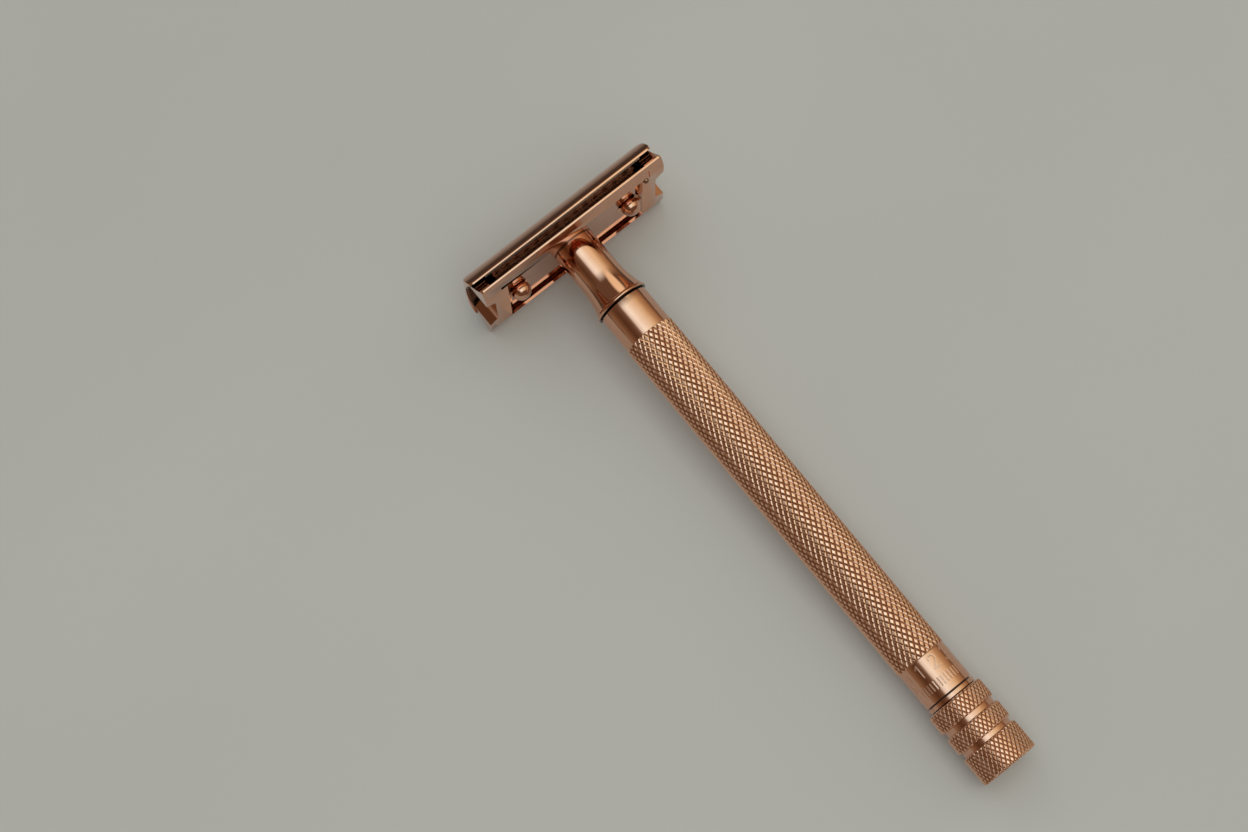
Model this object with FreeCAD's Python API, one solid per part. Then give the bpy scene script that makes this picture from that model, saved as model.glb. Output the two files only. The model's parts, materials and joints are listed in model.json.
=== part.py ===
import FreeCAD, Part
import math
import os

# Adjustable double-edge safety razor, in millimetres.
#
# The pieces are drawn standing up, in the razor's own axes:
#   X across the head, Y along the head, Z along the handle with the cap on top,
#   and Z = 0 on the underside of the base plate's web, where the neck starts.
# The finished razor is then laid on its side, the way it rests on a flat surface:
# the handle lies along X with the knob at +X, and both the lower guard bar and the
# knob's rim touch Z = 0. The origin is the bottom centre of the whole razor's box.

V = FreeCAD.Vector
AXIS = V(0, 0, 1)

# ---------------------------------------------------------------- blade
BLADE_LENGTH = 43.0
BLADE_WIDTH = 22.0
BLADE_THICKNESS = 0.1
BLADE_EDGE_LENGTH = 37.3
BLADE_TAB_HALF_WIDTH = 8.6
BLADE_BEND_RADIUS = 22.5
BLADE_CROWN = 5.3
BEND_CENTRE = BLADE_CROWN - BLADE_BEND_RADIUS
BLADE_SLOT_HALF_WIDTH = 0.8
BLADE_SLOT_HALF_LENGTH = 14.5
BLADE_POST_HOLE = 2.15
BLADE_STUD_HOLE = 2.8

# ---------------------------------------------------------------- cap
CAP_HALF_LENGTH = 21.9
CAP_HALF_WIDTH = 9.78
CAP_TOP = 7.6
CAP_RADIUS = 14.2
CAP_UNDER_RADIUS = BLADE_BEND_RADIUS + BLADE_THICKNESS + 0.03
CAP_END_ROUND = 2.3
CAP_CORNER_ROUND = 1.0
CAP_EDGE_ROUND = 0.15

POST_Y = 13.45
POST_RADIUS = 1.3
POST_TOP = 6.5
POST_COLLAR_RADIUS = 1.6
BALL_RADIUS = 2.0
BALL_CENTRE = -0.8
BALL_NECK_RADIUS = 1.2

THREAD_PITCH = 0.8
STUD_RADIUS = 2.35
STUD_TOP = 6.4
RELEASE_TURNS = 7
THREAD_TOP = -1.6
STUD_TIP = THREAD_TOP - RELEASE_TURNS * THREAD_PITCH

# ---------------------------------------------------------------- base plate
PLATE_HALF_LENGTH = 21.5
PLATE_HALF_WIDTH = 13.15
PLATE_BOTTOM = -1.05
RECESS_HALF_LENGTH = 15.3
RECESS_MOUTH_HALF_LENGTH = 16.3
PLATE_CROWN = 4.8
PLATE_CROWN_RADIUS = 22.0
PLATE_CORNER_ROUND = 0.5
RIDGE_RADIUS = BLADE_BEND_RADIUS - 0.15
RIDGE_INNER = 6.7
WEB_HALF_WIDTH = 7.8
BAR_INNER = 9.95
BAR_INNER_TOP = 2.0
LIP_TOP = 0.3
LIP_BOTTOM = -0.2
LIP_LAND = 0.4
LIP_ROUND = 0.15
WINDOW_HALF_LENGTH = 16.9
NOTCH_HALF_WIDTH = 6.4
NOTCH_FLOOR_HALF_WIDTH = 5.2
NOTCH_FLOOR = 19.5
NOTCH_ROUND = 0.9
STUD_HOLE_RADIUS = 3.0
POST_HOLE_RADIUS = 2.2
POST_SINK_RADIUS = 2.7
SCALLOPS_PER_SIDE = 14
SCALLOP_SPACING = 2.4
SCALLOP_RADIUS = 0.7
SCALLOP_CENTRE_Z = 2.25
PIP_AT = (9.2, 17.1)
PIP_RADIUS = 0.6
PIP_SUNK = 0.05
TICK_WIDTH = 0.18
TICK_LENGTH = 2.2
TICK_DEPTH = 0.6

# ---------------------------------------------------------------- neck and handle
NECK_RADIUS = 4.45
NECK_STRAIGHT_END = -8.0
FLARE_END = -14.5
FLARE_RADIUS = 5.5
FLANGE_RADIUS = 5.68
NECK_END = -15.2
NECK_BORE = 3.3
PLATE_SPIGOT_RADIUS = 3.6
PLATE_SPIGOT_TOP = 2.4
TUBE_BORE = 4.1
NECK_SPIGOT_END = -23.0
BUSH_TOP = -16.0
BUSH_BORE = 2.85

COLLAR_RADIUS = 5.2
GROOVE_RADIUS = 4.85
GROOVE_WIDTH = 0.3
GRIP_RADIUS = 5.3
GRIP_TOP = -23.4
GRIP_END = -103.1

SCALE_LINE = -106.6
SCALE_LINE_DEPTH = 0.08
SCALE_LINE_WIDTH = 0.16
SCALE_END = -111.2
SCALE_SPIGOT_TOP = -96.0
SCALE_BORE = 2.6
SCALE_CHAMFER = 0.12

# ---------------------------------------------------------------- inner works
NUT_TOP = -1.2
NUT_RADIUS = 2.8
NUT_THREAD_BORE = 2.42
NUT_LEAD = 0.2
NUT_BORE_END = -12.0
NUT_SOCKET_TOP = -17.0
NUT_END = -25.0
ROD_RADIUS = 2.0
JOURNAL_TOP = -94.5
JOURNAL_RADIUS = 2.55
JOURNAL_END = -111.25
STUB_END = -118.0
STUB_FLAT = 1.5
CLIP_TOP = -79.6
CLIP_THICKNESS = 0.4
CLIP_RADIUS = 3.2
CLIP_MOUTH = 1.4
CLIP_GROOVE_RADIUS = 1.55
CLIP_CLEARANCE = 0.03
WASHER_THICKNESS = 0.6
WASHER_RADIUS = 3.8
WASHER_HOLE = 2.08
LOWER_WASHER_HOLE = 2.75
SPRING_WIRE = 0.3
SPRING_MEAN_RADIUS = 3.15
SPRING_TURNS = 9
SPRING_GAP = 0.06

# ---------------------------------------------------------------- knob
THRUST_RADIUS = 4.7
THRUST_END = -111.45
INDEX_RADIUS = 5.2
INDEX_END = -112.35
INDEX_BORE = 3.0
KNOB_RADIUS = 6.0
KNOB_GROOVE_RADIUS = 5.45
KNOB_BEVEL = 0.45
KNOB_BANDS = [(-112.5, -116.6), (-117.6, -121.4), (-122.3, -128.5)]
KNOB_NECK_RADIUS = 4.9
KNOB_FLOOR = -119.5
SCREW_HEAD_RADIUS = 2.2
SCREW_HEAD_HEIGHT = 1.7
SCREW_RADIUS = 1.25
SCREW_TIP = -112.2
SCREW_SLOT_WIDTH = 0.6
SCREW_SLOT_DEPTH = 0.7
LOCK_WASHER_THICKNESS = 0.5
SCREW_WELL_RADIUS = 2.9
PLUG_TOP = -126.3
PLUG_RADIUS = 3.4

KNOB_END = KNOB_BANDS[-1][1]

# ---------------------------------------------------------------- lying pose
REST_TILT = math.degrees(math.atan(
    (PLATE_HALF_WIDTH - KNOB_RADIUS) / (LIP_BOTTOM + LIP_ROUND - KNOB_END - KNOB_BEVEL)))


def turned(outline):
    """Solid of revolution about the handle axis, from (radius, z) corners."""
    corners = [V(radius, 0, z) for radius, z in outline]
    wire = Part.makePolygon(corners + corners[:1])
    return Part.Face(wire).revolve(V(0, 0, 0), AXIS, 360)


def disc(radius, top, bottom):
    """Solid round bar between two heights."""
    return Part.makeCylinder(radius, top - bottom, V(0, 0, bottom))


def ring(outer, inner, top, bottom):
    """Round sleeve or washer between two heights."""
    return disc(outer, top, bottom).cut(disc(inner, top, bottom))


def block(x0, x1, y0, y1, z0, z1):
    """Box from its lowest to its highest corner."""
    return Part.makeBox(x1 - x0, y1 - y0, z1 - z0, V(x0, y0, z0))


def arch(radius, centre_z, x):
    """Point at half-width x on an arch that is centred on the handle axis."""
    return V(x, 0, centre_z + math.sqrt(radius * radius - x * x))


def arch_edge(radius, centre_z, x_from, x_to):
    """Arc of an arch in the XZ plane."""
    middle = 0.5 * (x_from + x_to)
    points = [arch(radius, centre_z, x) for x in (x_from, middle, x_to)]
    return Part.Arc(*points).toShape()


def line(start, end):
    """Straight edge between two points."""
    return Part.LineSegment(start, end).toShape()


def extruded(edges, half_length):
    """Closed XZ outline, made solid over both sides of the head's middle."""
    face = Part.Face(Part.Wire(Part.sortEdges(edges)[0]))
    face.translate(V(0, -half_length, 0))
    return face.extrude(V(0, 2 * half_length, 0))


def mirrored_pair(solid):
    """One solid and its mirror image at the other end or side of the head."""
    return [solid, solid.mirror(V(0, 0, 0), V(0, 1, 0))]


def round_edges(solid, radius, wanted):
    """Fillet of every straight edge whose two end points satisfy the test."""
    chosen = [e for e in solid.Edges if len(e.Vertexes) == 2 and wanted(*[v.Point for v in e.Vertexes])]
    return solid.makeFillet(radius, chosen)


def is_upright(start, end):
    """True for an edge that runs along Z."""
    return abs(start.x - end.x) < 1e-6 and abs(start.y - end.y) < 1e-6


# ---------------------------------------------------------------- head pieces
def make_cap():
    """Arched cap with rounded ends, drilled for the stud and the two posts."""
    outer_centre = CAP_TOP - CAP_RADIUS
    edge_top = arch(CAP_RADIUS, outer_centre, CAP_HALF_WIDTH)
    edge_bottom = arch(CAP_UNDER_RADIUS, BEND_CENTRE, CAP_HALF_WIDTH)
    far_top = V(-edge_top.x, 0, edge_top.z)
    far_bottom = V(-edge_bottom.x, 0, edge_bottom.z)
    shell = extruded([
        arch_edge(CAP_RADIUS, outer_centre, -CAP_HALF_WIDTH, CAP_HALF_WIDTH),
        line(edge_top, edge_bottom),
        arch_edge(CAP_UNDER_RADIUS, BEND_CENTRE, CAP_HALF_WIDTH, -CAP_HALF_WIDTH),
        line(far_bottom, far_top)], CAP_HALF_LENGTH)

    def on_long_edge(start, end):
        return abs(start.y - end.y) > CAP_HALF_LENGTH
    shell = round_edges(shell, CAP_EDGE_ROUND, on_long_edge)

    envelope = block(-CAP_HALF_WIDTH, CAP_HALF_WIDTH, -CAP_HALF_LENGTH, CAP_HALF_LENGTH, 0, CAP_TOP)
    envelope = round_edges(envelope, CAP_CORNER_ROUND, is_upright)
    side_view = block(-PLATE_HALF_WIDTH, PLATE_HALF_WIDTH, -CAP_HALF_LENGTH, CAP_HALF_LENGTH, 0, CAP_TOP)

    def on_top_end(start, end):
        return start.z > CAP_TOP - 1e-6 and end.z > CAP_TOP - 1e-6 and abs(start.y - end.y) < 1e-6
    side_view = round_edges(side_view, CAP_END_ROUND, on_top_end)
    shell = shell.common(envelope).common(side_view)

    holes = [disc(STUD_RADIUS, STUD_TOP, 0)]
    for side in (-1, 1):
        hole = disc(POST_RADIUS, POST_TOP, 0)
        hole.translate(V(0, side * POST_Y, 0))
        holes.append(hole)
    return shell.cut(holes)


def make_cap_stud():
    """Threaded stud in the middle of the cap, drawn plain, with a lead-in chamfer."""
    lead = 0.5
    return turned([(0, STUD_TOP), (STUD_RADIUS, STUD_TOP), (STUD_RADIUS, STUD_TIP + lead),
                   (STUD_RADIUS - lead, STUD_TIP), (0, STUD_TIP)])


def make_guide_post():
    """Cap post with a small collar above its ball end."""
    ball_top = BALL_CENTRE + math.sqrt(BALL_RADIUS ** 2 - BALL_NECK_RADIUS ** 2)
    collar_top = ball_top + 0.45
    shaft_end = collar_top + 0.2
    corners = [V(0, 0, POST_TOP), V(POST_RADIUS, 0, POST_TOP), V(POST_RADIUS, 0, shaft_end),
               V(POST_COLLAR_RADIUS, 0, collar_top), V(POST_COLLAR_RADIUS, 0, ball_top + 0.2),
               V(BALL_NECK_RADIUS, 0, ball_top)]
    tip = V(0, 0, BALL_CENTRE - BALL_RADIUS)
    widest = V(BALL_RADIUS, 0, BALL_CENTRE)
    edges = [line(a, b) for a, b in zip(corners, corners[1:])]
    edges.append(Part.Arc(corners[-1], widest, tip).toShape())
    edges.append(line(tip, corners[0]))
    face = Part.Face(Part.Wire(Part.sortEdges(edges)[0]))
    post = face.revolve(V(0, 0, 0), AXIS, 360)
    post.translate(V(0, POST_Y, 0))
    return post


def make_guide_posts():
    """The two cap posts, one near each end of the head."""
    return Part.makeCompound(mirrored_pair(make_guide_post()))


def make_blade():
    """Double-edge blade, bent over the plate, with its slot and cut corners."""
    half_angle = 0.5 * BLADE_WIDTH / (BLADE_BEND_RADIUS + 0.5 * BLADE_THICKNESS)
    inner = BLADE_BEND_RADIUS
    outer = BLADE_BEND_RADIUS + BLADE_THICKNESS
    inner_x = inner * math.sin(half_angle)
    outer_x = outer * math.sin(half_angle)
    strip = extruded([
        arch_edge(outer, BEND_CENTRE, -outer_x, outer_x),
        line(arch(outer, BEND_CENTRE, outer_x), arch(inner, BEND_CENTRE, inner_x)),
        arch_edge(inner, BEND_CENTRE, inner_x, -inner_x),
        line(arch(inner, BEND_CENTRE, -inner_x), arch(outer, BEND_CENTRE, -outer_x))],
        0.5 * BLADE_LENGTH)
    cutters = [disc(BLADE_STUD_HOLE, CAP_TOP, 0)]
    cutters.append(block(-BLADE_SLOT_HALF_WIDTH, BLADE_SLOT_HALF_WIDTH,
                         -BLADE_SLOT_HALF_LENGTH, BLADE_SLOT_HALF_LENGTH, 0, CAP_TOP))
    for side in (-1, 1):
        hole = disc(BLADE_POST_HOLE, CAP_TOP, 0)
        hole.translate(V(0, side * POST_Y, 0))
        cutters.append(hole)
    corner = block(BLADE_TAB_HALF_WIDTH, BLADE_WIDTH, 0.5 * BLADE_EDGE_LENGTH, BLADE_LENGTH, 0, CAP_TOP)
    for turned_corner in mirrored_pair(corner):
        cutters.append(turned_corner)
        cutters.append(turned_corner.mirror(V(0, 0, 0), V(1, 0, 0)))
    return strip.cut(cutters)


def make_base_plate():
    """Crowned plate with blade ridges, lather windows, two scalloped guard bars and a pip on one corner."""
    crown_centre = PLATE_CROWN - PLATE_CROWN_RADIUS
    half = [arch(PLATE_CROWN_RADIUS, crown_centre, RIDGE_INNER),
            arch(RIDGE_RADIUS, BEND_CENTRE, RIDGE_INNER),
            arch(RIDGE_RADIUS, BEND_CENTRE, WEB_HALF_WIDTH),
            V(BAR_INNER, 0, BAR_INNER_TOP),
            V(PLATE_HALF_WIDTH - LIP_LAND, 0, LIP_TOP),
            V(PLATE_HALF_WIDTH, 0, LIP_TOP),
            V(PLATE_HALF_WIDTH, 0, LIP_BOTTOM),
            V(BAR_INNER, 0, PLATE_BOTTOM)]
    other = [V(-p.x, 0, p.z) for p in half]
    edges = [arch_edge(PLATE_CROWN_RADIUS, crown_centre, -RIDGE_INNER, RIDGE_INNER)]
    for side in (half, other):
        edges.append(line(side[0], side[1]))
        edges.append(arch_edge(RIDGE_RADIUS, BEND_CENTRE, side[1].x, side[2].x))
        edges.extend(line(a, b) for a, b in zip(side[2:], side[3:]))
    edges.append(line(half[-1], other[-1]))
    plate = extruded(edges, PLATE_HALF_LENGTH)

    def on_lip(start, end):
        along_bar = abs(start.y - end.y) > PLATE_HALF_LENGTH
        outermost = min(abs(start.x), abs(end.x)) > PLATE_HALF_WIDTH - 1e-3
        return along_bar and outermost
    plate = round_edges(plate, LIP_ROUND, on_lip)
    plan = block(-PLATE_HALF_WIDTH, PLATE_HALF_WIDTH, -PLATE_HALF_LENGTH, PLATE_HALF_LENGTH,
                 PLATE_BOTTOM, CAP_TOP)
    plate = plate.common(round_edges(plan, PLATE_CORNER_ROUND, is_upright))

    window = WINDOW_HALF_LENGTH
    cutters = [make_web_recess()]
    for side in (-1, 1):
        x_low = min(side * WEB_HALF_WIDTH, side * BAR_INNER)
        x_high = max(side * WEB_HALF_WIDTH, side * BAR_INNER)
        cutters.append(block(x_low, x_high, -window, window, -0.5, CAP_TOP))
    cutters.extend(mirrored_pair(make_notch()))
    cutters.append(disc(STUD_HOLE_RADIUS, CAP_TOP, PLATE_BOTTOM))
    cutters.append(disc(PLATE_SPIGOT_RADIUS, PLATE_SPIGOT_TOP, PLATE_BOTTOM))
    sink = POST_SINK_RADIUS - POST_HOLE_RADIUS
    post_hole = turned([(0, CAP_TOP), (POST_HOLE_RADIUS, CAP_TOP), (POST_HOLE_RADIUS, sink),
                        (POST_SINK_RADIUS, 0), (POST_SINK_RADIUS, PLATE_BOTTOM), (0, PLATE_BOTTOM)])
    post_hole.translate(V(0, POST_Y, 0))
    cutters.extend(mirrored_pair(post_hole))
    cutters.extend(make_scallops())
    cutters.append(make_tick())
    pip = Part.makeSphere(PIP_RADIUS, V(*PIP_AT, PLATE_BOTTOM - PIP_SUNK))
    return plate.cut(cutters).fuse(pip).removeSplitter()


def make_web_recess():
    """Cutter for the shallow recess under the web, with sloping ends."""
    slope = (RECESS_MOUTH_HALF_LENGTH - RECESS_HALF_LENGTH) / -PLATE_BOTTOM
    low = PLATE_BOTTOM - 1
    mouth = RECESS_HALF_LENGTH - slope * low
    corners = [V(-BAR_INNER, -RECESS_HALF_LENGTH, 0), V(-BAR_INNER, RECESS_HALF_LENGTH, 0),
               V(-BAR_INNER, mouth, low), V(-BAR_INNER, -mouth, low)]
    return Part.Face(Part.makePolygon(corners + corners[:1])).extrude(V(2 * BAR_INNER, 0, 0))


def make_notch():
    """Cutter for the notch in one end of the plate, wider at its mouth and rounded at its floor."""
    depth = PLATE_HALF_LENGTH - NOTCH_FLOOR
    beyond = 2 * NOTCH_HALF_WIDTH - NOTCH_FLOOR_HALF_WIDTH
    low = PLATE_BOTTOM - 1
    corners = [V(-NOTCH_FLOOR_HALF_WIDTH, NOTCH_FLOOR, low), V(NOTCH_FLOOR_HALF_WIDTH, NOTCH_FLOOR, low),
               V(beyond, NOTCH_FLOOR + 2 * depth, low), V(-beyond, NOTCH_FLOOR + 2 * depth, low)]
    notch = Part.Face(Part.makePolygon(corners + corners[:1])).extrude(V(0, 0, CAP_TOP - low))
    return round_edges(notch, NOTCH_ROUND, is_upright)


def make_scallops():
    """Cutters for the row of lather notches in the inner top edge of each guard bar."""
    cutters = []
    bar_width = PLATE_HALF_WIDTH - BAR_INNER
    for side in (-1, 1):
        for index in range(SCALLOPS_PER_SIDE):
            y = (index - 0.5 * (SCALLOPS_PER_SIDE - 1)) * SCALLOP_SPACING
            start = V(side * (BAR_INNER - 0.3), y, SCALLOP_CENTRE_Z)
            cutters.append(Part.makeCylinder(SCALLOP_RADIUS, bar_width, start, V(side, 0, 0)))
    return cutters


def make_tick():
    """Cutter for the short groove beside the pip, which together mark one corner of the underside."""
    x, y = PIP_AT
    tick_y = y + PIP_RADIUS + 0.3
    return block(x + 0.3, x + 0.3 + TICK_LENGTH, tick_y, tick_y + TICK_WIDTH,
                 PLATE_BOTTOM, PLATE_BOTTOM + TICK_DEPTH)


# ---------------------------------------------------------------- neck and handle pieces
def make_neck():
    """Waisted neck with a flared flange, spigoted into the plate and the handle tube."""
    rise = NECK_STRAIGHT_END - FLARE_END
    spread = FLARE_RADIUS - NECK_RADIUS
    flare_arc = (rise ** 2 + spread ** 2) / (2 * spread)
    half_rise = 0.5 * rise
    half_spread = flare_arc - math.sqrt(flare_arc ** 2 - half_rise ** 2)
    flare_start = V(NECK_RADIUS, 0, NECK_STRAIGHT_END)
    flare_middle = V(NECK_RADIUS + half_spread, 0, NECK_STRAIGHT_END - half_rise)
    flare_end = V(FLARE_RADIUS, 0, FLARE_END)
    flange_middle = V(FLANGE_RADIUS, 0, 0.5 * (FLARE_END + NECK_END))
    flange_end = V(FLARE_RADIUS, 0, NECK_END)
    upper = [V(NECK_BORE, 0, PLATE_SPIGOT_TOP), V(PLATE_SPIGOT_RADIUS, 0, PLATE_SPIGOT_TOP),
             V(PLATE_SPIGOT_RADIUS, 0, 0), V(NECK_RADIUS, 0, 0), flare_start]
    lower = [flange_end, V(TUBE_BORE, 0, NECK_END), V(TUBE_BORE, 0, NECK_SPIGOT_END),
             V(NECK_BORE, 0, NECK_SPIGOT_END), upper[0]]
    edges = [line(a, b) for a, b in zip(upper, upper[1:])]
    edges.append(Part.Arc(flare_start, flare_middle, flare_end).toShape())
    edges.append(Part.Arc(flare_end, flange_middle, flange_end).toShape())
    edges.extend(line(a, b) for a, b in zip(lower, lower[1:]))
    face = Part.Face(Part.Wire(Part.sortEdges(edges)[0]))
    return face.revolve(V(0, 0, 0), AXIS, 360)


def make_neck_bush():
    """Bearing bush pressed into the lower end of the neck."""
    return ring(NECK_BORE, BUSH_BORE, BUSH_TOP, NECK_SPIGOT_END)


def make_handle_tube():
    """Handle tube: a plain collar below the neck, then the grip at its knurl's outer size."""
    groove_end = NECK_END - GROOVE_WIDTH
    return turned([(TUBE_BORE, NECK_END), (GROOVE_RADIUS, NECK_END), (GROOVE_RADIUS, groove_end),
                   (COLLAR_RADIUS, groove_end - 0.05), (COLLAR_RADIUS, GRIP_TOP),
                   (GRIP_RADIUS, GRIP_TOP - 0.1), (GRIP_RADIUS, GRIP_END), (TUBE_BORE, GRIP_END)])


def make_scale_ring():
    """Plain ring that carries the scale, spigoted into the tube and bored for the rod."""
    half_line = 0.5 * SCALE_LINE_WIDTH
    return turned([(SCALE_BORE, SCALE_SPIGOT_TOP), (TUBE_BORE, SCALE_SPIGOT_TOP), (TUBE_BORE, GRIP_END),
                   (COLLAR_RADIUS, GRIP_END), (COLLAR_RADIUS, SCALE_LINE + half_line),
                   (COLLAR_RADIUS - SCALE_LINE_DEPTH, SCALE_LINE),
                   (COLLAR_RADIUS, SCALE_LINE - half_line), (COLLAR_RADIUS, SCALE_END + SCALE_CHAMFER),
                   (COLLAR_RADIUS - SCALE_CHAMFER, SCALE_END), (SCALE_BORE, SCALE_END)])


# ---------------------------------------------------------------- inner pieces
def make_draw_nut():
    """Long nut that draws the cap stud down, socketed at its lower end for the rod."""
    lead_in = turned([(0, NUT_TOP), (NUT_THREAD_BORE + NUT_LEAD, NUT_TOP),
                      (NUT_THREAD_BORE, THREAD_TOP), (0, THREAD_TOP)])
    bore = disc(NUT_THREAD_BORE, THREAD_TOP, NUT_BORE_END)
    socket = disc(ROD_RADIUS, NUT_SOCKET_TOP, NUT_END)
    return disc(NUT_RADIUS, NUT_TOP, NUT_END).cut([lead_in, bore, socket])


def make_draw_rod():
    """Rod from the draw nut to the knob: clip groove, journal and flatted stub."""
    clip_bottom = CLIP_TOP - CLIP_THICKNESS
    rod = turned([(0, NUT_SOCKET_TOP), (ROD_RADIUS, NUT_SOCKET_TOP),
                  (ROD_RADIUS, CLIP_TOP + CLIP_CLEARANCE),
                  (CLIP_GROOVE_RADIUS, CLIP_TOP + CLIP_CLEARANCE),
                  (CLIP_GROOVE_RADIUS, clip_bottom - CLIP_CLEARANCE),
                  (ROD_RADIUS, clip_bottom - CLIP_CLEARANCE), (ROD_RADIUS, JOURNAL_TOP),
                  (JOURNAL_RADIUS, JOURNAL_TOP), (JOURNAL_RADIUS, JOURNAL_END), (ROD_RADIUS, JOURNAL_END),
                  (ROD_RADIUS, STUB_END), (0, STUB_END)])
    flat = block(STUB_FLAT, KNOB_RADIUS, -KNOB_RADIUS, KNOB_RADIUS, STUB_END, JOURNAL_END)
    return rod.cut([flat, disc(SCREW_RADIUS, SCREW_TIP, STUB_END)])


def make_retaining_clip():
    """Open spring clip in the rod's groove."""
    clip = ring(CLIP_RADIUS, CLIP_GROOVE_RADIUS + CLIP_CLEARANCE, CLIP_TOP, CLIP_TOP - CLIP_THICKNESS)
    return clip.cut(block(0, KNOB_RADIUS, -CLIP_MOUTH, CLIP_MOUTH, CLIP_TOP - CLIP_THICKNESS, CLIP_TOP))


def make_upper_washer():
    """Washer under the clip, which the drag spring pushes up."""
    top = CLIP_TOP - CLIP_THICKNESS
    return ring(WASHER_RADIUS, WASHER_HOLE, top, top - WASHER_THICKNESS)


def make_lower_washer():
    """Washer on the scale ring's spigot, which the drag spring stands on."""
    return ring(WASHER_RADIUS, LOWER_WASHER_HOLE, SCALE_SPIGOT_TOP + WASHER_THICKNESS, SCALE_SPIGOT_TOP)


def make_drag_spring():
    """Compression spring between the two washers; it keeps the knob seated and turning stiffly."""
    bottom = SCALE_SPIGOT_TOP + WASHER_THICKNESS + SPRING_GAP + SPRING_WIRE
    top = CLIP_TOP - CLIP_THICKNESS - WASHER_THICKNESS - SPRING_GAP - SPRING_WIRE
    pitch = (top - bottom) / SPRING_TURNS
    helix = Part.makeHelix(pitch, top - bottom, SPRING_MEAN_RADIUS)
    section = Part.Wire(Part.makeCircle(SPRING_WIRE, V(SPRING_MEAN_RADIUS, 0, 0), V(0, 1, 0)))
    coil = Part.Wire(helix).makePipeShell([section], True, True)
    coil.translate(V(0, 0, bottom))
    return coil


# ---------------------------------------------------------------- knob pieces
def make_thrust_washer():
    """Thin plastic washer that the knob turns on, seen as a dark line above the index ring."""
    return ring(THRUST_RADIUS, JOURNAL_RADIUS + 0.1, JOURNAL_END, THRUST_END)


def make_index_ring():
    """Plain ring above the knurled knob that carries the index mark."""
    return ring(INDEX_RADIUS, INDEX_BORE, THRUST_END, INDEX_END)


def make_knob():
    """Knob with three bands at their knurl's outer size, bored for the rod stub and its screw."""
    outline = [(0, THRUST_END), (INDEX_BORE, THRUST_END), (INDEX_BORE, INDEX_END),
               (KNOB_NECK_RADIUS, INDEX_END), (KNOB_NECK_RADIUS, KNOB_BANDS[0][0])]
    for top, bottom in KNOB_BANDS:
        inner = KNOB_NECK_RADIUS if top == KNOB_BANDS[0][0] else KNOB_GROOVE_RADIUS
        outline.append((inner, top))
        outline.append((KNOB_RADIUS - KNOB_BEVEL, top))
        outline.append((KNOB_RADIUS, top - KNOB_BEVEL))
        outline.append((KNOB_RADIUS, bottom + KNOB_BEVEL))
        outline.append((KNOB_RADIUS - KNOB_BEVEL, bottom))
        if bottom != KNOB_END:
            outline.append((KNOB_GROOVE_RADIUS, bottom))
    outline.append((0, KNOB_END))
    body = turned([corner for index, corner in enumerate(outline) if corner not in outline[:index]])
    socket = disc(ROD_RADIUS, THRUST_END, STUB_END)
    socket = socket.cut(block(STUB_FLAT, KNOB_RADIUS, -KNOB_RADIUS, KNOB_RADIUS, STUB_END, THRUST_END))
    screw_hole = disc(SCREW_RADIUS + 0.1, STUB_END, KNOB_FLOOR)
    well = disc(SCREW_WELL_RADIUS, KNOB_FLOOR, PLUG_TOP)
    seat = disc(PLUG_RADIUS, PLUG_TOP, KNOB_END)
    return body.cut([socket, screw_hole, well, seat])


def make_lock_washer():
    """Washer under the knob screw's head."""
    return ring(SCREW_HEAD_RADIUS + 0.3, SCREW_RADIUS + 0.1, KNOB_FLOOR, KNOB_FLOOR - LOCK_WASHER_THICKNESS)


def make_knob_screw():
    """Slotted screw that holds the knob on the rod."""
    head_top = KNOB_FLOOR - LOCK_WASHER_THICKNESS
    head_end = head_top - SCREW_HEAD_HEIGHT
    screw = turned([(0, SCREW_TIP), (SCREW_RADIUS, SCREW_TIP), (SCREW_RADIUS, head_top),
                    (SCREW_HEAD_RADIUS, head_top), (SCREW_HEAD_RADIUS, head_end), (0, head_end)])
    half_slot = 0.5 * SCREW_SLOT_WIDTH
    slot = block(-SCREW_HEAD_RADIUS, SCREW_HEAD_RADIUS, -half_slot, half_slot,
                 head_end, head_end + SCREW_SLOT_DEPTH)
    return screw.cut(slot)


def make_end_plug():
    """Disc pressed flush into the knob's flat end, over the screw."""
    return disc(PLUG_RADIUS, PLUG_TOP, KNOB_END)


PIECES = {
    "cap": make_cap,
    "cap_stud": make_cap_stud,
    "guide_posts": make_guide_posts,
    "blade": make_blade,
    "base_plate": make_base_plate,
    "neck": make_neck,
    "neck_bush": make_neck_bush,
    "handle_tube": make_handle_tube,
    "scale_ring": make_scale_ring,
    "draw_nut": make_draw_nut,
    "draw_rod": make_draw_rod,
    "retaining_clip": make_retaining_clip,
    "upper_washer": make_upper_washer,
    "drag_spring": make_drag_spring,
    "lower_washer": make_lower_washer,
    "thrust_washer": make_thrust_washer,
    "index_ring": make_index_ring,
    "knob": make_knob,
    "lock_washer": make_lock_washer,
    "knob_screw": make_knob_screw,
    "end_plug": make_end_plug,
}


def lying_placement():
    """Placement that lays the upright razor down, before it is centred."""
    tilt = math.radians(REST_TILT)
    across = V(math.sin(tilt), 0, math.cos(tilt))
    towards_cap = V(-math.cos(tilt), 0, math.sin(tilt))
    return FreeCAD.Placement(V(0, 0, 0), FreeCAD.Rotation(across, V(0, 1, 0), towards_cap, "XYZ"))


def lay_down(shapes):
    """Lay every shape down and put the whole razor's bottom centre at the origin."""
    placement = lying_placement()
    for shape in shapes.values():
        shape.Placement = placement.multiply(shape.Placement)
    box = FreeCAD.BoundBox()
    for shape in shapes.values():
        box.add(shape.optimalBoundingBox(False, False))
    shift = V(-box.Center.x, -box.Center.y, -box.ZMin)
    for shape in shapes.values():
        shape.translate(shift)
    placement.move(shift)
    return placement


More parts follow.
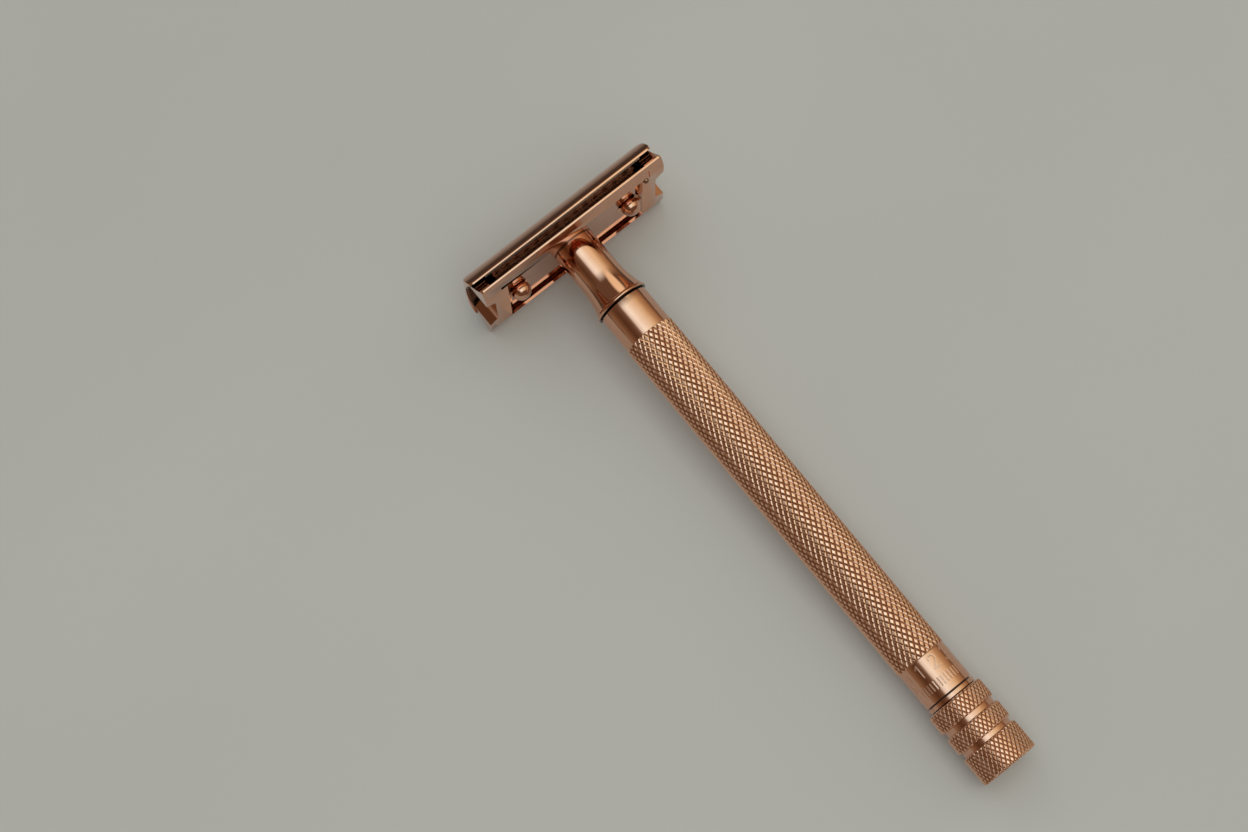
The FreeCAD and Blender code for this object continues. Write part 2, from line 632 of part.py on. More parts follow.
def build():
    """Make every piece in its place in the lying razor."""
    shapes = {name: make() for name, make in PIECES.items()}
    placement = lay_down(shapes)
    return shapes, placement


def main():
    os.makedirs("parts", exist_ok=True)
    shapes, placement = build()
    for name, shape in shapes.items():
        if not shape.isValid():
            raise ValueError("invalid shape: " + name)
        shape.exportStep("parts/" + name + ".step")
        print(name, len(shape.Solids), round(shape.Volume, 2))
    print("web centre at", placement.Base, "tilt", round(REST_TILT, 3))


if __name__ == "__main__":
    main()
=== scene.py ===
import json
import math
import bmesh
import bpy
import numpy as np
from mathutils import Matrix, Vector


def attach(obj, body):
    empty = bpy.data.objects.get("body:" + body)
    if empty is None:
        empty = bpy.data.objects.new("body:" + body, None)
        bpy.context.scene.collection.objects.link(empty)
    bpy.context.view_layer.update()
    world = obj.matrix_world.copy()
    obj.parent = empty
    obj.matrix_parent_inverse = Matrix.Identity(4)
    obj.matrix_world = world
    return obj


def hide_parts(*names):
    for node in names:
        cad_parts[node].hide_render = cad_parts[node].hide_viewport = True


# Looks of an adjustable double-edge safety razor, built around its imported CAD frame.
#
# Every mesh is drawn in millimetres in the razor's own axes:
#   X across the head, Y along the head, Z along the handle with the cap on top,
#   and Z = 0 on the underside of the base plate's web.
# PLACE then takes it to the row frame, in metres, where the knob's joint says.

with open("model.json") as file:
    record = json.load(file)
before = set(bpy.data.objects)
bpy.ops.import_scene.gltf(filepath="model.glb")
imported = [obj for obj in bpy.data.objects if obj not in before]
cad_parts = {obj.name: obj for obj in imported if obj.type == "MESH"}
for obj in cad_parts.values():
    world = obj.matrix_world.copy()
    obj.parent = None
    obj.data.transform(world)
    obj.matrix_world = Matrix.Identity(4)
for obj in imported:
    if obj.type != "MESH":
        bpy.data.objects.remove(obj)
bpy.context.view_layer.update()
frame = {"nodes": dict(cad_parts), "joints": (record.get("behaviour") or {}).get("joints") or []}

SCENE = bpy.context.scene
TURN = 2.0 * math.pi
MM = 0.001

knob_joint = next(joint for joint in frame["joints"] if joint["name"] == "knob_turn")
WEB = Vector(knob_joint["pos_m"])
TO_CAP = -Vector(knob_joint["axis"]).normalized()
ALONG = Vector((0.0, 1.0, 0.0))
ACROSS = ALONG.cross(TO_CAP)
AXES = Matrix((ACROSS, ALONG, TO_CAP)).transposed()
PLACE = Matrix.Translation(WEB) @ AXES.to_4x4() @ Matrix.Scale(MM, 4)

# ---------------------------------------------------------------- dimensions, mm
CAP_HALF_LENGTH = 21.9
CAP_HALF_WIDTH = 9.78
CAP_TOP = 7.6
CAP_RADIUS = 14.2
CAP_UNDER_RADIUS = 22.63
CAP_END_ROUND = 2.3
CAP_CORNER_ROUND = 1.0
CAP_LEAST_THICKNESS = 0.25
CAP_UPPER_EDGE_ROUND = 0.13
CAP_LOWER_EDGE_ROUND = 0.08
CAP_HOLE_START = 2.0
BEND_CENTRE = -17.2

POST_Y = 13.45
POST_RADIUS = 1.3
POST_TOP = 6.5
BALL_RADIUS = 2.0
BALL_CENTRE = -0.8
BALL_CUT_ANGLE = 53.1
POST_COLLAR_RADIUS = 1.6
POST_COLLAR_RISES = (0.65, 0.45, 0.2)
POST_HOLE_RADIUS = 2.2
POST_HOLE_ENDS = (8.0, -1.5)
POST_SINK_RADIUS = 2.7
POST_SINK_TOP = 0.5

THREAD_PITCH = 0.8
THREAD_DEPTH = 0.4
THREAD_START = 2.2
STUD_RADIUS = 2.35
STUD_TOP = 6.4
STUD_TIP = -7.2
STUD_CHAMFER = 0.5
STUD_HOLE_RADIUS = 3.0

PLATE_HALF_LENGTH = 21.5
PLATE_HALF_WIDTH = 13.15
PLATE_BOTTOM = -1.05
PLATE_CORNER_ROUND = 0.5
PLATE_EDGE_ROUND = 0.05
PLATE_EDGE_ANGLE = 21
PLAN_OVERLAP = 0.001
CUT_START = -3.0
CUT_REACH = 12.0
SLIVER = 0.0005
COPLANAR_ANGLE = 0.05
RECESS_HALF_LENGTH = 15.3
RECESS_MOUTH_HALF_LENGTH = 16.3
CROWN_RADIUS = 22.0
RIDGE_RADIUS = 22.35
RIDGE_INNER = 6.7
WEB_HALF_WIDTH = 7.8
BAR_INNER = 9.95
BAR_INNER_TOP = 2.0
LIP_TOP = 0.3
LIP_BOTTOM = -0.2
LIP_LAND = 0.4
WINDOW_HALF_LENGTH = 16.9
WINDOW_CORNER_ROUND = 0.35
WINDOW_BOTTOM = -0.5
NOTCH_HALF_WIDTH = 6.4
NOTCH_FLOOR_HALF_WIDTH = 5.2
NOTCH_FLOOR = 19.5
NOTCH_CORNER_ROUND = 0.9
SCALLOPS = 14
SCALLOP_SPACING = 2.4
SCALLOP_RADIUS = 0.7
SCALLOP_Z = 2.25
SCALLOP_LEAD = 0.3
SCALLOP_LENGTH = 3.2
PIP_AT = (9.2, 17.1)
PIP_RADIUS = 0.6
PIP_SUNK = 0.05
PIP_ROOT = 0.3
MARK_GAP = 0.3
MARK_LENGTH = 2.2
MARK_WIDTH = 0.18
MARK_DEPTH = 0.6
MARK_LEAD = 0.55

SPIGOT_RADIUS = 3.6
SPIGOT_TOP = 2.4
NECK_RADIUS = 4.45
NECK_BORE = 3.3
NECK_SLEEVE_END = -23.0
NECK_STRAIGHT_END = -8.0
FLARE_END = -14.5
FLARE_RADIUS = 5.5
FLANGE_RADIUS = 5.68
NECK_END = -15.2
COLLAR_RADIUS = 5.2
COLLAR_GROOVE_RADIUS = 4.85
COLLAR_GROOVE_WIDTH = 0.3
TUBE_BORE = 4.1
KNURL_DEPTH = 0.15
GRIP_RADIUS = 5.3
GRIP_TOP = -23.4
GRIP_END = -103.1
GRIP_KNURL_STARTS = 30
GRIP_KNURL_PITCH = 1.85
GRIP_SHOULDER = 0.12
SCALE_BORE = 2.6
SCALE_SPIGOT_TOP = -96.0
SCALE_LINE = -106.6
SCALE_END = -111.2
THRUST_END = -111.45
INDEX_END = -112.35
KNOB_RADIUS = 6.0
KNOB_CORE_RADIUS = 5.45
KNOB_NECK_RADIUS = 4.9
KNOB_KNURL_STARTS = 40
KNOB_KNURL_PITCH = 1.5
KNOB_SHOULDER = 0.5
KNOB_BANDS = [(-112.5, -116.6), (-117.6, -121.4), (-122.3, -128.5)]
KNOB_END = -128.5
HUB_RADIUS = 3.0
ROD_STUB_RADIUS = 2.0
ROD_STUB_END = -118.0
SCREW_RADIUS = 1.35
SCREW_WELL_RADIUS = 2.9
SCREW_WELL_TOP = -119.5
PLUG_RADIUS = 3.4
PLUG_TOP = -126.3


# ---------------------------------------------------------------- meshes
def placed(name, data):
    """New object in the scene."""
    thing = bpy.data.objects.new(name, data)
    SCENE.collection.objects.link(thing)
    return thing


def bridge(bm, first, second):
    """Ring of quads between two closed rings of vertices."""
    for index in range(len(first)):
        follow = (index + 1) % len(first)
        bm.faces.new((first[index], first[follow], second[follow], second[index]))


def rounded(corners, steps=4):
    """Closed outline from (a, b) or (a, b, radius) corners, with an arc at each corner that has a radius."""
    points = []
    for index, corner in enumerate(corners):
        here = np.array(corner[:2], float)
        if len(corner) < 3:
            points.append(tuple(here))
            continue
        before = np.array(corners[index - 1][:2], float) - here
        after = np.array(corners[(index + 1) % len(corners)][:2], float) - here
        length_before, length_after = np.linalg.norm(before), np.linalg.norm(after)
        before, after = before / length_before, after / length_after
        half = 0.5 * math.acos(max(-1.0, min(1.0, float(before @ after))))
        reach = min(corner[2] / math.tan(half), 0.45 * length_before, 0.45 * length_after)
        radius = reach * math.tan(half)
        middle = before + after
        centre = here + middle / np.linalg.norm(middle) * radius / math.sin(half)
        start = here + before * reach - centre
        end = here + after * reach - centre
        first = math.atan2(start[1], start[0])
        sweep = (math.atan2(end[1], end[0]) - first + math.pi) % TURN - math.pi
        for step in range(steps + 1):
            angle = first + sweep * step / steps
            points.append((centre[0] + radius * math.cos(angle), centre[1] + radius * math.sin(angle)))
    return points


def arc(centre, radius, first, last, steps):
    """Points on an arc, both ends included, with angles in degrees."""
    angles = np.radians(np.linspace(first, last, steps + 1))
    return [(centre[0] + radius * math.cos(a), centre[1] + radius * math.sin(a)) for a in angles]


def finished(bm, name, smooth_below=None):
    """Mesh from a bmesh, with outward normals and edges sharp above an angle."""
    bmesh.ops.recalc_face_normals(bm, faces=bm.faces[:])
    mesh = bpy.data.meshes.new(name)
    bm.to_mesh(mesh)
    bm.free()
    if smooth_below is not None:
        mesh.shade_smooth()
        mesh.set_sharp_from_angle(angle=math.radians(smooth_below))
    return mesh


def lathe(name, outline, segments=192, relief=None, smooth_below=32):
    """Closed solid of revolution; relief(angle, z, radius) gives how deep each point is pushed in."""
    radii, heights = np.array(outline, float).T
    angles = TURN * np.arange(segments) / segments
    angle, height = np.meshgrid(angles, heights)
    radius = np.repeat(radii[:, None], segments, axis=1)
    depth = np.zeros_like(radius) if relief is None else relief(angle, height, radius)
    pushed = radius - depth
    points = np.stack([pushed * np.cos(angle), pushed * np.sin(angle), height], axis=-1).reshape(-1, 3)
    rings = len(outline)
    row, column = np.meshgrid(np.arange(rings), np.arange(segments), indexing="ij")
    next_row, next_column = (row + 1) % rings, (column + 1) % segments
    faces = np.stack([row * segments + column, row * segments + next_column,
                      next_row * segments + next_column, next_row * segments + column], axis=-1)
    mesh = bpy.data.meshes.new(name)
    mesh.from_pydata(points.tolist(), [], faces.reshape(-1, 4).tolist())
    if relief is not None:
        mark = mesh.attributes.new("mark", "FLOAT", "POINT")
        mark.data.foreach_set("value", (depth / max(depth.max(), 1e-9)).astype(np.float32).ravel())
    bm = bmesh.new()
    bm.from_mesh(mesh)
    bpy.data.meshes.remove(mesh)
    bmesh.ops.remove_doubles(bm, verts=[v for v in bm.verts if v.co.xy.length < 1e-6], dist=1e-5)
    bmesh.ops.dissolve_degenerate(bm, dist=1e-7, edges=bm.edges[:])
    return finished(bm, name, smooth_below)


def knurled_sleeve(name, radius, depth, starts, pitch, top, bottom, bore, shoulder):
    """Closed sleeve with a diamond knurl: V grooves on two crossing families of helices."""
    middle, half = 0.5 * (top + bottom), 0.5 * (top - bottom)
    levels = int(math.ceil(2.0 * half / pitch)) + 2
    rings = [(0.54, 0.05 * depth), (0.45, 0.0)]
    sides = ((-1, 0), (0, -1), (1, 0), (0, 1))
    bm = bmesh.new()
    valley = bm.verts.layers.float.new("valley")

    def vertex(angle_step, level, sunk):
        """Point of the knurl, sunk below its outer size."""
        angle = math.pi * angle_step / starts
        point = bm.verts.new(((radius - sunk) * math.cos(angle), (radius - sunk) * math.sin(angle),
                              middle + 0.5 * pitch * level))
        point[valley] = sunk / depth
        return point

    crossings = {}
    for level in range(-levels, levels + 1):
        for step in range(2 * starts):
            if (step + level) % 2 == 0:
                crossings[step, level] = vertex(step, level, depth)
    for level in range(1 - levels, levels):
        for step in range(2 * starts):
            if (step + level) % 2 == 0:
                continue
            outer = [crossings[(step + a) % (2 * starts), level + b] for a, b in sides]
            for share, sunk in rings:
                inner = [vertex(step + share * a, level + share * b, sunk) for a, b in sides]
                bridge(bm, outer, inner)
                outer = inner
            bm.faces.new(outer)

    slices = [(top, True), (bottom, True)]
    for share in (0.12, 0.3, 0.6, 1.0) if shoulder else ():
        slices.append((top - share * shoulder, False))
        slices.append((bottom + share * shoulder, False))
    for height, is_end in slices:
        whole = bm.verts[:] + bm.edges[:] + bm.faces[:]
        outwards = (0, 0, 1 if height > middle else -1)
        bmesh.ops.bisect_plane(bm, geom=whole, dist=1e-6, plane_co=(0, 0, height), plane_no=outwards,
                               clear_outer=is_end)
    if shoulder:
        for point in bm.verts:
            reach = min(top - point.co.z, point.co.z - bottom)
            if reach < shoulder:
                short = shoulder - max(reach, 0.0)
                limit = radius - shoulder + math.sqrt(max(0.0, shoulder ** 2 - short ** 2))
                now = point.co.xy.length
                if now > limit:
                    point.co.x *= limit / now
                    point.co.y *= limit / now

    inner_rings = []
    for height in (top, bottom):
        rim = [v for v in bm.verts if abs(v.co.z - height) < 1e-4 and v.is_boundary]
        rim.sort(key=lambda v: math.atan2(v.co.y, v.co.x))
        inner = []
        for point in rim:
            point.co.z = height
            scale = bore / point.co.xy.length
            inner.append(bm.verts.new((point.co.x * scale, point.co.y * scale, height)))
            inner[-1][valley] = 1.0
        bridge(bm, rim, inner)
        inner_rings.append(inner)
    bridge(bm, *inner_rings)
    return finished(bm, name)


def prism(outline, start, reach, plane):
    """Closed prism: a 2D outline in the plane "xy", "xz" or "yz", extruded along the third axis."""
    order = {"xy": (0, 1, 2), "xz": (0, 2, 1), "yz": (1, 2, 0)}[plane]
    bm = bmesh.new()
    ends = []
    for depth in (start, start + reach):
        ring = []
        for a, b in outline:
            point = [0.0, 0.0, 0.0]
            point[order[0]], point[order[1]], point[order[2]] = a, b, depth
            ring.append(bm.verts.new(point))
        ends.append(ring)
        bm.faces.new(ring)
    bridge(bm, *ends)
    return finished(bm, "prism")


def rectangle(a0, a1, b0, b1, radius=None):
    """Corners of a rectangle, rounded if a radius is given."""
    corners = [(a0, b0), (a1, b0), (a1, b1), (a0, b1)]
    return corners if radius is None else rounded([corner + (radius,) for corner in corners], 6)


def circle(a, b, radius, steps=48):
    """Points of a full circle."""
    return arc((a, b), radius, 0.0, 360.0 - 360.0 / steps, steps - 1)


def combined(mesh, other, operation):
    """Mesh after an exact boolean with another mesh."""
    made = [placed("boolean", data) for data in (mesh, other)]
    modifier = made[0].modifiers.new("boolean", "BOOLEAN")
    modifier.operation = operation
    modifier.solver = "EXACT"
    modifier.object = made[1]
    result = bpy.data.meshes.new_from_object(made[0].evaluated_get(bpy.context.evaluated_depsgraph_get()))
    for thing in made:
        bpy.data.objects.remove(thing)
    for data in (mesh, other):
        bpy.data.meshes.remove(data)
    return result


def cleaned(mesh):
    """Mesh without the shortest edges and the coplanar splits that booleans leave."""
    bm = bmesh.new()
    bm.from_mesh(mesh)
    bmesh.ops.remove_doubles(bm, verts=bm.verts, dist=SLIVER)
    bmesh.ops.dissolve_limit(bm, angle_limit=math.radians(COPLANAR_ANGLE), verts=bm.verts, edges=bm.edges)
    bm.to_mesh(mesh)
    bm.free()
    return mesh


def softened(mesh, width, angle, name):
    """Mesh with sharp edges above an angle and face-weighted normals; its bevel collapses to almost nothing."""
    thing = placed("bevel", mesh)
    mesh.shade_smooth()
    mesh.set_sharp_from_angle(angle=math.radians(angle))
    bevel = thing.modifiers.new("bevel", "BEVEL")
    bevel.limit_method = "ANGLE"
    bevel.angle_limit = math.radians(angle)
    bevel.width = width
    bevel.segments = 3
    bevel.miter_outer = "MITER_ARC"
    weighted = thing.modifiers.new("weighted", "WEIGHTED_NORMAL")
    weighted.weight = 80
    weighted.keep_sharp = True
    result = bpy.data.meshes.new_from_object(thing.evaluated_get(bpy.context.evaluated_depsgraph_get()))
    bpy.data.objects.remove(thing)
    bpy.data.meshes.remove(mesh)
    result.name = name
    return result


def add_piece(name, mesh, body, slot, material, *nodes):
    """Puts a mesh in the row frame as a piece that rides on a body and stands for CAD nodes."""
    mesh.transform(PLACE)
    mesh.name = name
    mesh.materials.clear()
    mesh.materials.append(material)
    piece = placed(name, mesh)
    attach(piece, body)
    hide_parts(*nodes)
    return piece


# ---------------------------------------------------------------- materials
def add_node(tree, kind, values=None, **settings):
    """New shader node; each value is a constant or the socket that feeds the input."""
    node = tree.nodes.new("ShaderNode" + kind)
    for name, value in settings.items():
        setattr(node, name, value)
    for name, value in (values or {}).items():
        if isinstance(value, bpy.types.NodeSocket):
            tree.links.new(value, node.inputs[name])
        else:
            node.inputs[name].default_value = value
    return node


def emptied_tree(owner):
    """Node tree of a material or world, with nothing in it."""
    owner.use_nodes = True
    owner.node_tree.nodes.clear()
    return owner.node_tree


def new_material(name, **constants):
    """Material with one Principled shader."""
    material = bpy.data.materials.new(name)
    tree = emptied_tree(material)
    shader = add_node(tree, "BsdfPrincipled", constants)
    add_node(tree, "OutputMaterial", {"Surface": shader.outputs["BSDF"]})
    return material, tree, shader


def razor_coordinates(tree):
    """Coordinates in the razor's own axes, in millimetres."""
    where = add_node(tree, "TexCoord")
    values = {"Vector": where.outputs["Object"], "Location": WEB,
              "Rotation": AXES.to_euler(), "Scale": (MM, MM, MM)}
    place = add_node(tree, "Mapping", values, vector_type="TEXTURE")
    return place.outputs["Vector"]


def turned_coordinates(tree, position):
    """(radius, height, 0), so that a texture on them makes turning rings about the handle axis."""
    split = add_node(tree, "SeparateXYZ", {"Vector": position})
    square = add_node(tree, "Math", {0: split.outputs["X"], 1: split.outputs["X"]}, operation="MULTIPLY")
    total = add_node(tree, "Math", {0: split.outputs["Y"], 1: split.outputs["Y"], 2: square.outputs[0]},
                     operation="MULTIPLY_ADD")
    radius = add_node(tree, "Math", {0: total.outputs[0]}, operation="SQRT")
    joined = add_node(tree, "CombineXYZ", {"X": radius.outputs[0], "Y": split.outputs["Z"]})
    return joined.outputs["Vector"]


def noise(tree, position, scale, detail=2.0, stretch=None):
    """Noise factor, with its size in features per millimetre."""
    if stretch is not None:
        position = add_node(tree, "Mapping", {"Vector": position, "Scale": stretch}).outputs["Vector"]
    return add_node(tree, "TexNoise", {"Vector": position, "Scale": scale, "Detail": detail}).outputs["Fac"]


def remapped(tree, value, low, high, to_low=0.0, to_high=1.0):
    """Value taken from one range to another and held inside it."""
    return add_node(tree, "MapRange", {"Value": value, "From Min": low, "From Max": high,
                                       "To Min": to_low, "To Max": to_high}).outputs["Result"]


def mixed(tree, share, first, second):
    """Colour between two colours or colour sockets."""
    node = add_node(tree, "Mix", data_type="RGBA")
    for index, value in ((0, share), (6, first), (7, second)):
        if isinstance(value, bpy.types.NodeSocket):
            tree.links.new(value, node.inputs[index])
        else:
            node.inputs[index].default_value = value
    return node.outputs[2]


def bumped(tree, height, distance, normal=None):
    """Normal from a height, with its full depth in millimetres."""
    node = add_node(tree, "Bump", {"Height": height, "Distance": distance * MM, "Strength": 1.0})
    if normal is not None:
        tree.links.new(normal, node.inputs["Normal"])
    return node.outputs["Normal"]


def added(tree, first, second):
    """Sum of two values."""
    return add_node(tree, "Math", {0: first, 1: second}, operation="ADD").outputs[0]


def colour(*rgb):
    """Opaque colour."""
    return (*rgb, 1.0)


def recoloured(tree, shader, share, tint):
    """Mixes a colour over the base colour by a share."""
    before = shader.inputs["Base Color"].links[0].from_socket
    tree.links.new(mixed(tree, share, before, tint), shader.inputs["Base Color"])


def roughened(tree, shader, extra):
    """Adds a value to the roughness."""
    before = shader.inputs["Roughness"].links[0].from_socket
    tree.links.new(added(tree, before, extra), shader.inputs["Roughness"])


def metal(name, pale, deep, rough, waviness=0.0, scratches=0.0, turning=0.0):
    """Metal with patchy colour, fine scratches, faint waviness and turning rings; sizes of relief in mm."""
    material, tree, shader = new_material(name, Metallic=1.0)
    position = razor_coordinates(tree)
    patches = remapped(tree, noise(tree, position, 0.35, 3.0), 0.35, 0.65)
    tree.links.new(mixed(tree, patches, pale, deep), shader.inputs["Base Color"])
    lines = added(tree, *(remapped(tree, noise(tree, position, 1.0, 3.0, stretch), 0.6, 0.75, 0.0, 0.5)
                          for stretch in ((14.0, 1.1, 0.35), (0.6, 12.0, 1.7))))
    smudge = remapped(tree, noise(tree, position, 0.22, 4.0), 0.4, 0.7)
    haze = added(tree, remapped(tree, smudge, 0.0, 1.0, rough[0], 0.5 * (rough[0] + rough[1])),
                 remapped(tree, lines, 0.0, 1.0, 0.0, 0.5 * (rough[1] - rough[0])))
    tree.links.new(haze, shader.inputs["Roughness"])
    normal = None
    if waviness:
        normal = bumped(tree, noise(tree, position, 0.3, 1.0), waviness)
    if scratches:
        normal = bumped(tree, lines, scratches, normal)
    if turning:
        rings = noise(tree, turned_coordinates(tree, position), 14.0, 2.0)
        normal = bumped(tree, rings, turning, normal)
    if normal is not None:
        tree.links.new(normal, shader.inputs["Normal"])
    return material, tree, shader


def shaded(material, zones):
    """Paints shade into the gaps between parts: darkens heights along the razor, given as (from, to, share of
    the colour that is left).
    """
    tree = material.node_tree
    shader = next(node for node in tree.nodes if node.type == "BSDF_PRINCIPLED")
    height = add_node(tree, "SeparateXYZ", {"Vector": razor_coordinates(tree)}).outputs["Z"]
    soft = 0.04
    for low, high, left in zones:
        above = remapped(tree, height, low - soft, low)
        below = remapped(tree, height, high, high + soft, 1.0, 0.0)
        inside = add_node(tree, "Math", {0: above, 1: below}, operation="MULTIPLY").outputs[0]
        recoloured(tree, shader, remapped(tree, inside, 0.0, 1.0, 0.0, 1.0 - left), PAINTED_GAP_SHADE)
    return material


ROSE_PALE = colour(0.72, 0.40, 0.275)
ROSE_DEEP = colour(0.68, 0.37, 0.25)
# Colour of the painted shade in the knurl's grooves.
ROSE_GROOVE_SHADE = colour(0.30, 0.11, 0.055)
ROSE_ETCHED = colour(0.80, 0.50, 0.38)
# Near-black painted shade for the narrow gaps between parts.
PAINTED_GAP_SHADE = colour(0.012, 0.006, 0.004)
GROUND_AND_GAP_SHADE = colour(0.09, 0.08, 0.075)
POLISH = {"rough": (0.055, 0.16), "waviness": 0.012, "scratches": 0.0006}
BLADE_GROUND_AND_SHADE = (9.2, 9.3)


def rose_gold(name, turning=0.0):
    """Mirror-polished rose-gold plate."""
    return metal(name, ROSE_PALE, ROSE_DEEP, turning=turning, **POLISH)[0]


def knurled_gold(name):
    """Rose-gold plate on the knurl: satin flanks, bright worn tops and grooves darkened with painted shade."""
    material, tree, shader = metal(name, colour(0.84, 0.50, 0.345), colour(0.80, 0.46, 0.315),
                                   rough=(0.13, 0.24), scratches=0.0008)
    valley = add_node(tree, "Attribute", attribute_name="valley").outputs["Fac"]
    # Painted shade: the deeper a point sits in a groove, the darker its colour.
    recoloured(tree, shader, remapped(tree, valley, 0.4, 1.0, 0.0, 0.6), ROSE_GROOVE_SHADE)
    roughened(tree, shader, remapped(tree, valley, 0.0, 1.0, -0.04, 0.1))
    return material


def engraved_gold(name):
    """Polished plate whose engraved marks are matt and a little paler."""
    material, tree, shader = metal(name, ROSE_PALE, ROSE_DEEP, **POLISH)
    mark = add_node(tree, "Attribute", attribute_name="mark").outputs["Fac"]
    etched = remapped(tree, mark, 0.3, 0.8)
    recoloured(tree, shader, etched, ROSE_ETCHED)
    roughened(tree, shader, remapped(tree, etched, 0.0, 1.0, 0.0, 0.4))
    return material


def blade_steel(name):
    """Thin stainless strip, nearly black along both cutting edges: partly the ground bevels, partly painted
    shade where the edges show in the dark gap between cap and guard.
    """
    material, tree, shader = metal(name, colour(0.34, 0.34, 0.345), colour(0.28, 0.28, 0.285),
                                   rough=(0.2, 0.34), waviness=0.004, scratches=0.0008)
    position = razor_coordinates(tree)
    split = add_node(tree, "SeparateXYZ", {"Vector": position})
    out = add_node(tree, "Math", {0: split.outputs["X"]}, operation="ABSOLUTE").outputs[0]
    # Partly painted shade: everything beyond 9.3 mm across, where the blade shows in the gap between cap and
    # guard, is made nearly black.
    recoloured(tree, shader, remapped(tree, out, *BLADE_GROUND_AND_SHADE), GROUND_AND_GAP_SHADE)
    grain = noise(tree, position, 1.0, 2.0, (1.5, 40.0, 1.5))
    roughened(tree, shader, remapped(tree, grain, 0.3, 0.7, -0.04, 0.08))
    return material


def nylon(name):
    """Dark moulded plastic with a fine matt grain."""
    material, tree, shader = new_material(name, Roughness=0.5)
    position = razor_coordinates(tree)
    shade = remapped(tree, noise(tree, position, 2.5, 3.0), 0.3, 0.7)
    tree.links.new(mixed(tree, shade, colour(0.018, 0.014, 0.012), colour(0.03, 0.024, 0.02)),
                   shader.inputs["Base Color"])
    tree.links.new(bumped(tree, noise(tree, position, 18.0, 2.0), 0.004), shader.inputs["Normal"])
    return material


gold = rose_gold("rose_gold_polished")
# Heights of painted shade: under the neck's flange, at the neck's root on the plate, and between the index ring
# and the knob.
flange_gap_shade = (NECK_END - 0.32, NECK_END + 0.05, 0.0)
plate_gap_shade = (-0.22, 0.3, 0.3)
knob_gap_shade = (KNOB_BANDS[0][0] - 0.1, INDEX_END + 0.03, 0.0)
gold_gap_shaded = shaded(rose_gold("rose_gold_gap_shaded"), [flange_gap_shade, plate_gap_shade])
# Painted shade for the pip: a far darker base colour stands in for the dark surroundings that its polished dome
# mirrors.
gold_dull_painted_dark = metal("rose_gold_dull_painted_dark", colour(0.34, 0.20, 0.13), colour(0.28, 0.16, 0.10),
                  rough=(0.18, 0.3), waviness=0.004, scratches=0.0006)[0]
gold_turned_gap_shaded = shaded(rose_gold("rose_gold_turned_gap_shaded", 0.0012), [knob_gap_shade])
gold_knurled = knurled_gold("rose_gold_knurled")
gold_engraved = engraved_gold("rose_gold_engraved")
brass = metal("bare_brass_turned", colour(0.80, 0.60, 0.30), colour(0.70, 0.50, 0.24),
              rough=(0.18, 0.34), scratches=0.001, turning=0.003)[0]
steel = metal("stainless_turned", colour(0.60, 0.60, 0.61), colour(0.50, 0.50, 0.52),
              rough=(0.2, 0.34), scratches=0.001, turning=0.002)[0]
CARRIED = {
    "blade": blade_steel("blade_steel"),
    "draw_nut": brass, "neck_bush": brass,
    "draw_rod": steel, "retaining_clip": steel, "upper_washer": steel, "lower_washer": steel,
    "drag_spring": steel, "lock_washer": steel, "knob_screw": steel,
    "thrust_washer": nylon("dark_nylon"),
}
for node_name, finish in CARRIED.items():
    carried = frame["nodes"][node_name]
    carried.data.materials.clear()
    carried.data.materials.append(finish)


# ---------------------------------------------------------------- head
def smooth_min(a, b, blend):
    """Lower of two heights, with the crease between them rounded."""
    overlap = np.maximum(blend - np.abs(a - b), 0.0) / np.maximum(blend, 1e-9)
    return np.minimum(a, b) - 0.25 * blend * overlap ** 2


def edge_drop(distance, radius):
    """How far a rounded edge falls at a distance inside the outline."""
    inside = np.clip(radius - distance, 0.0, radius)
    return radius - np.sqrt(radius ** 2 - inside ** 2)


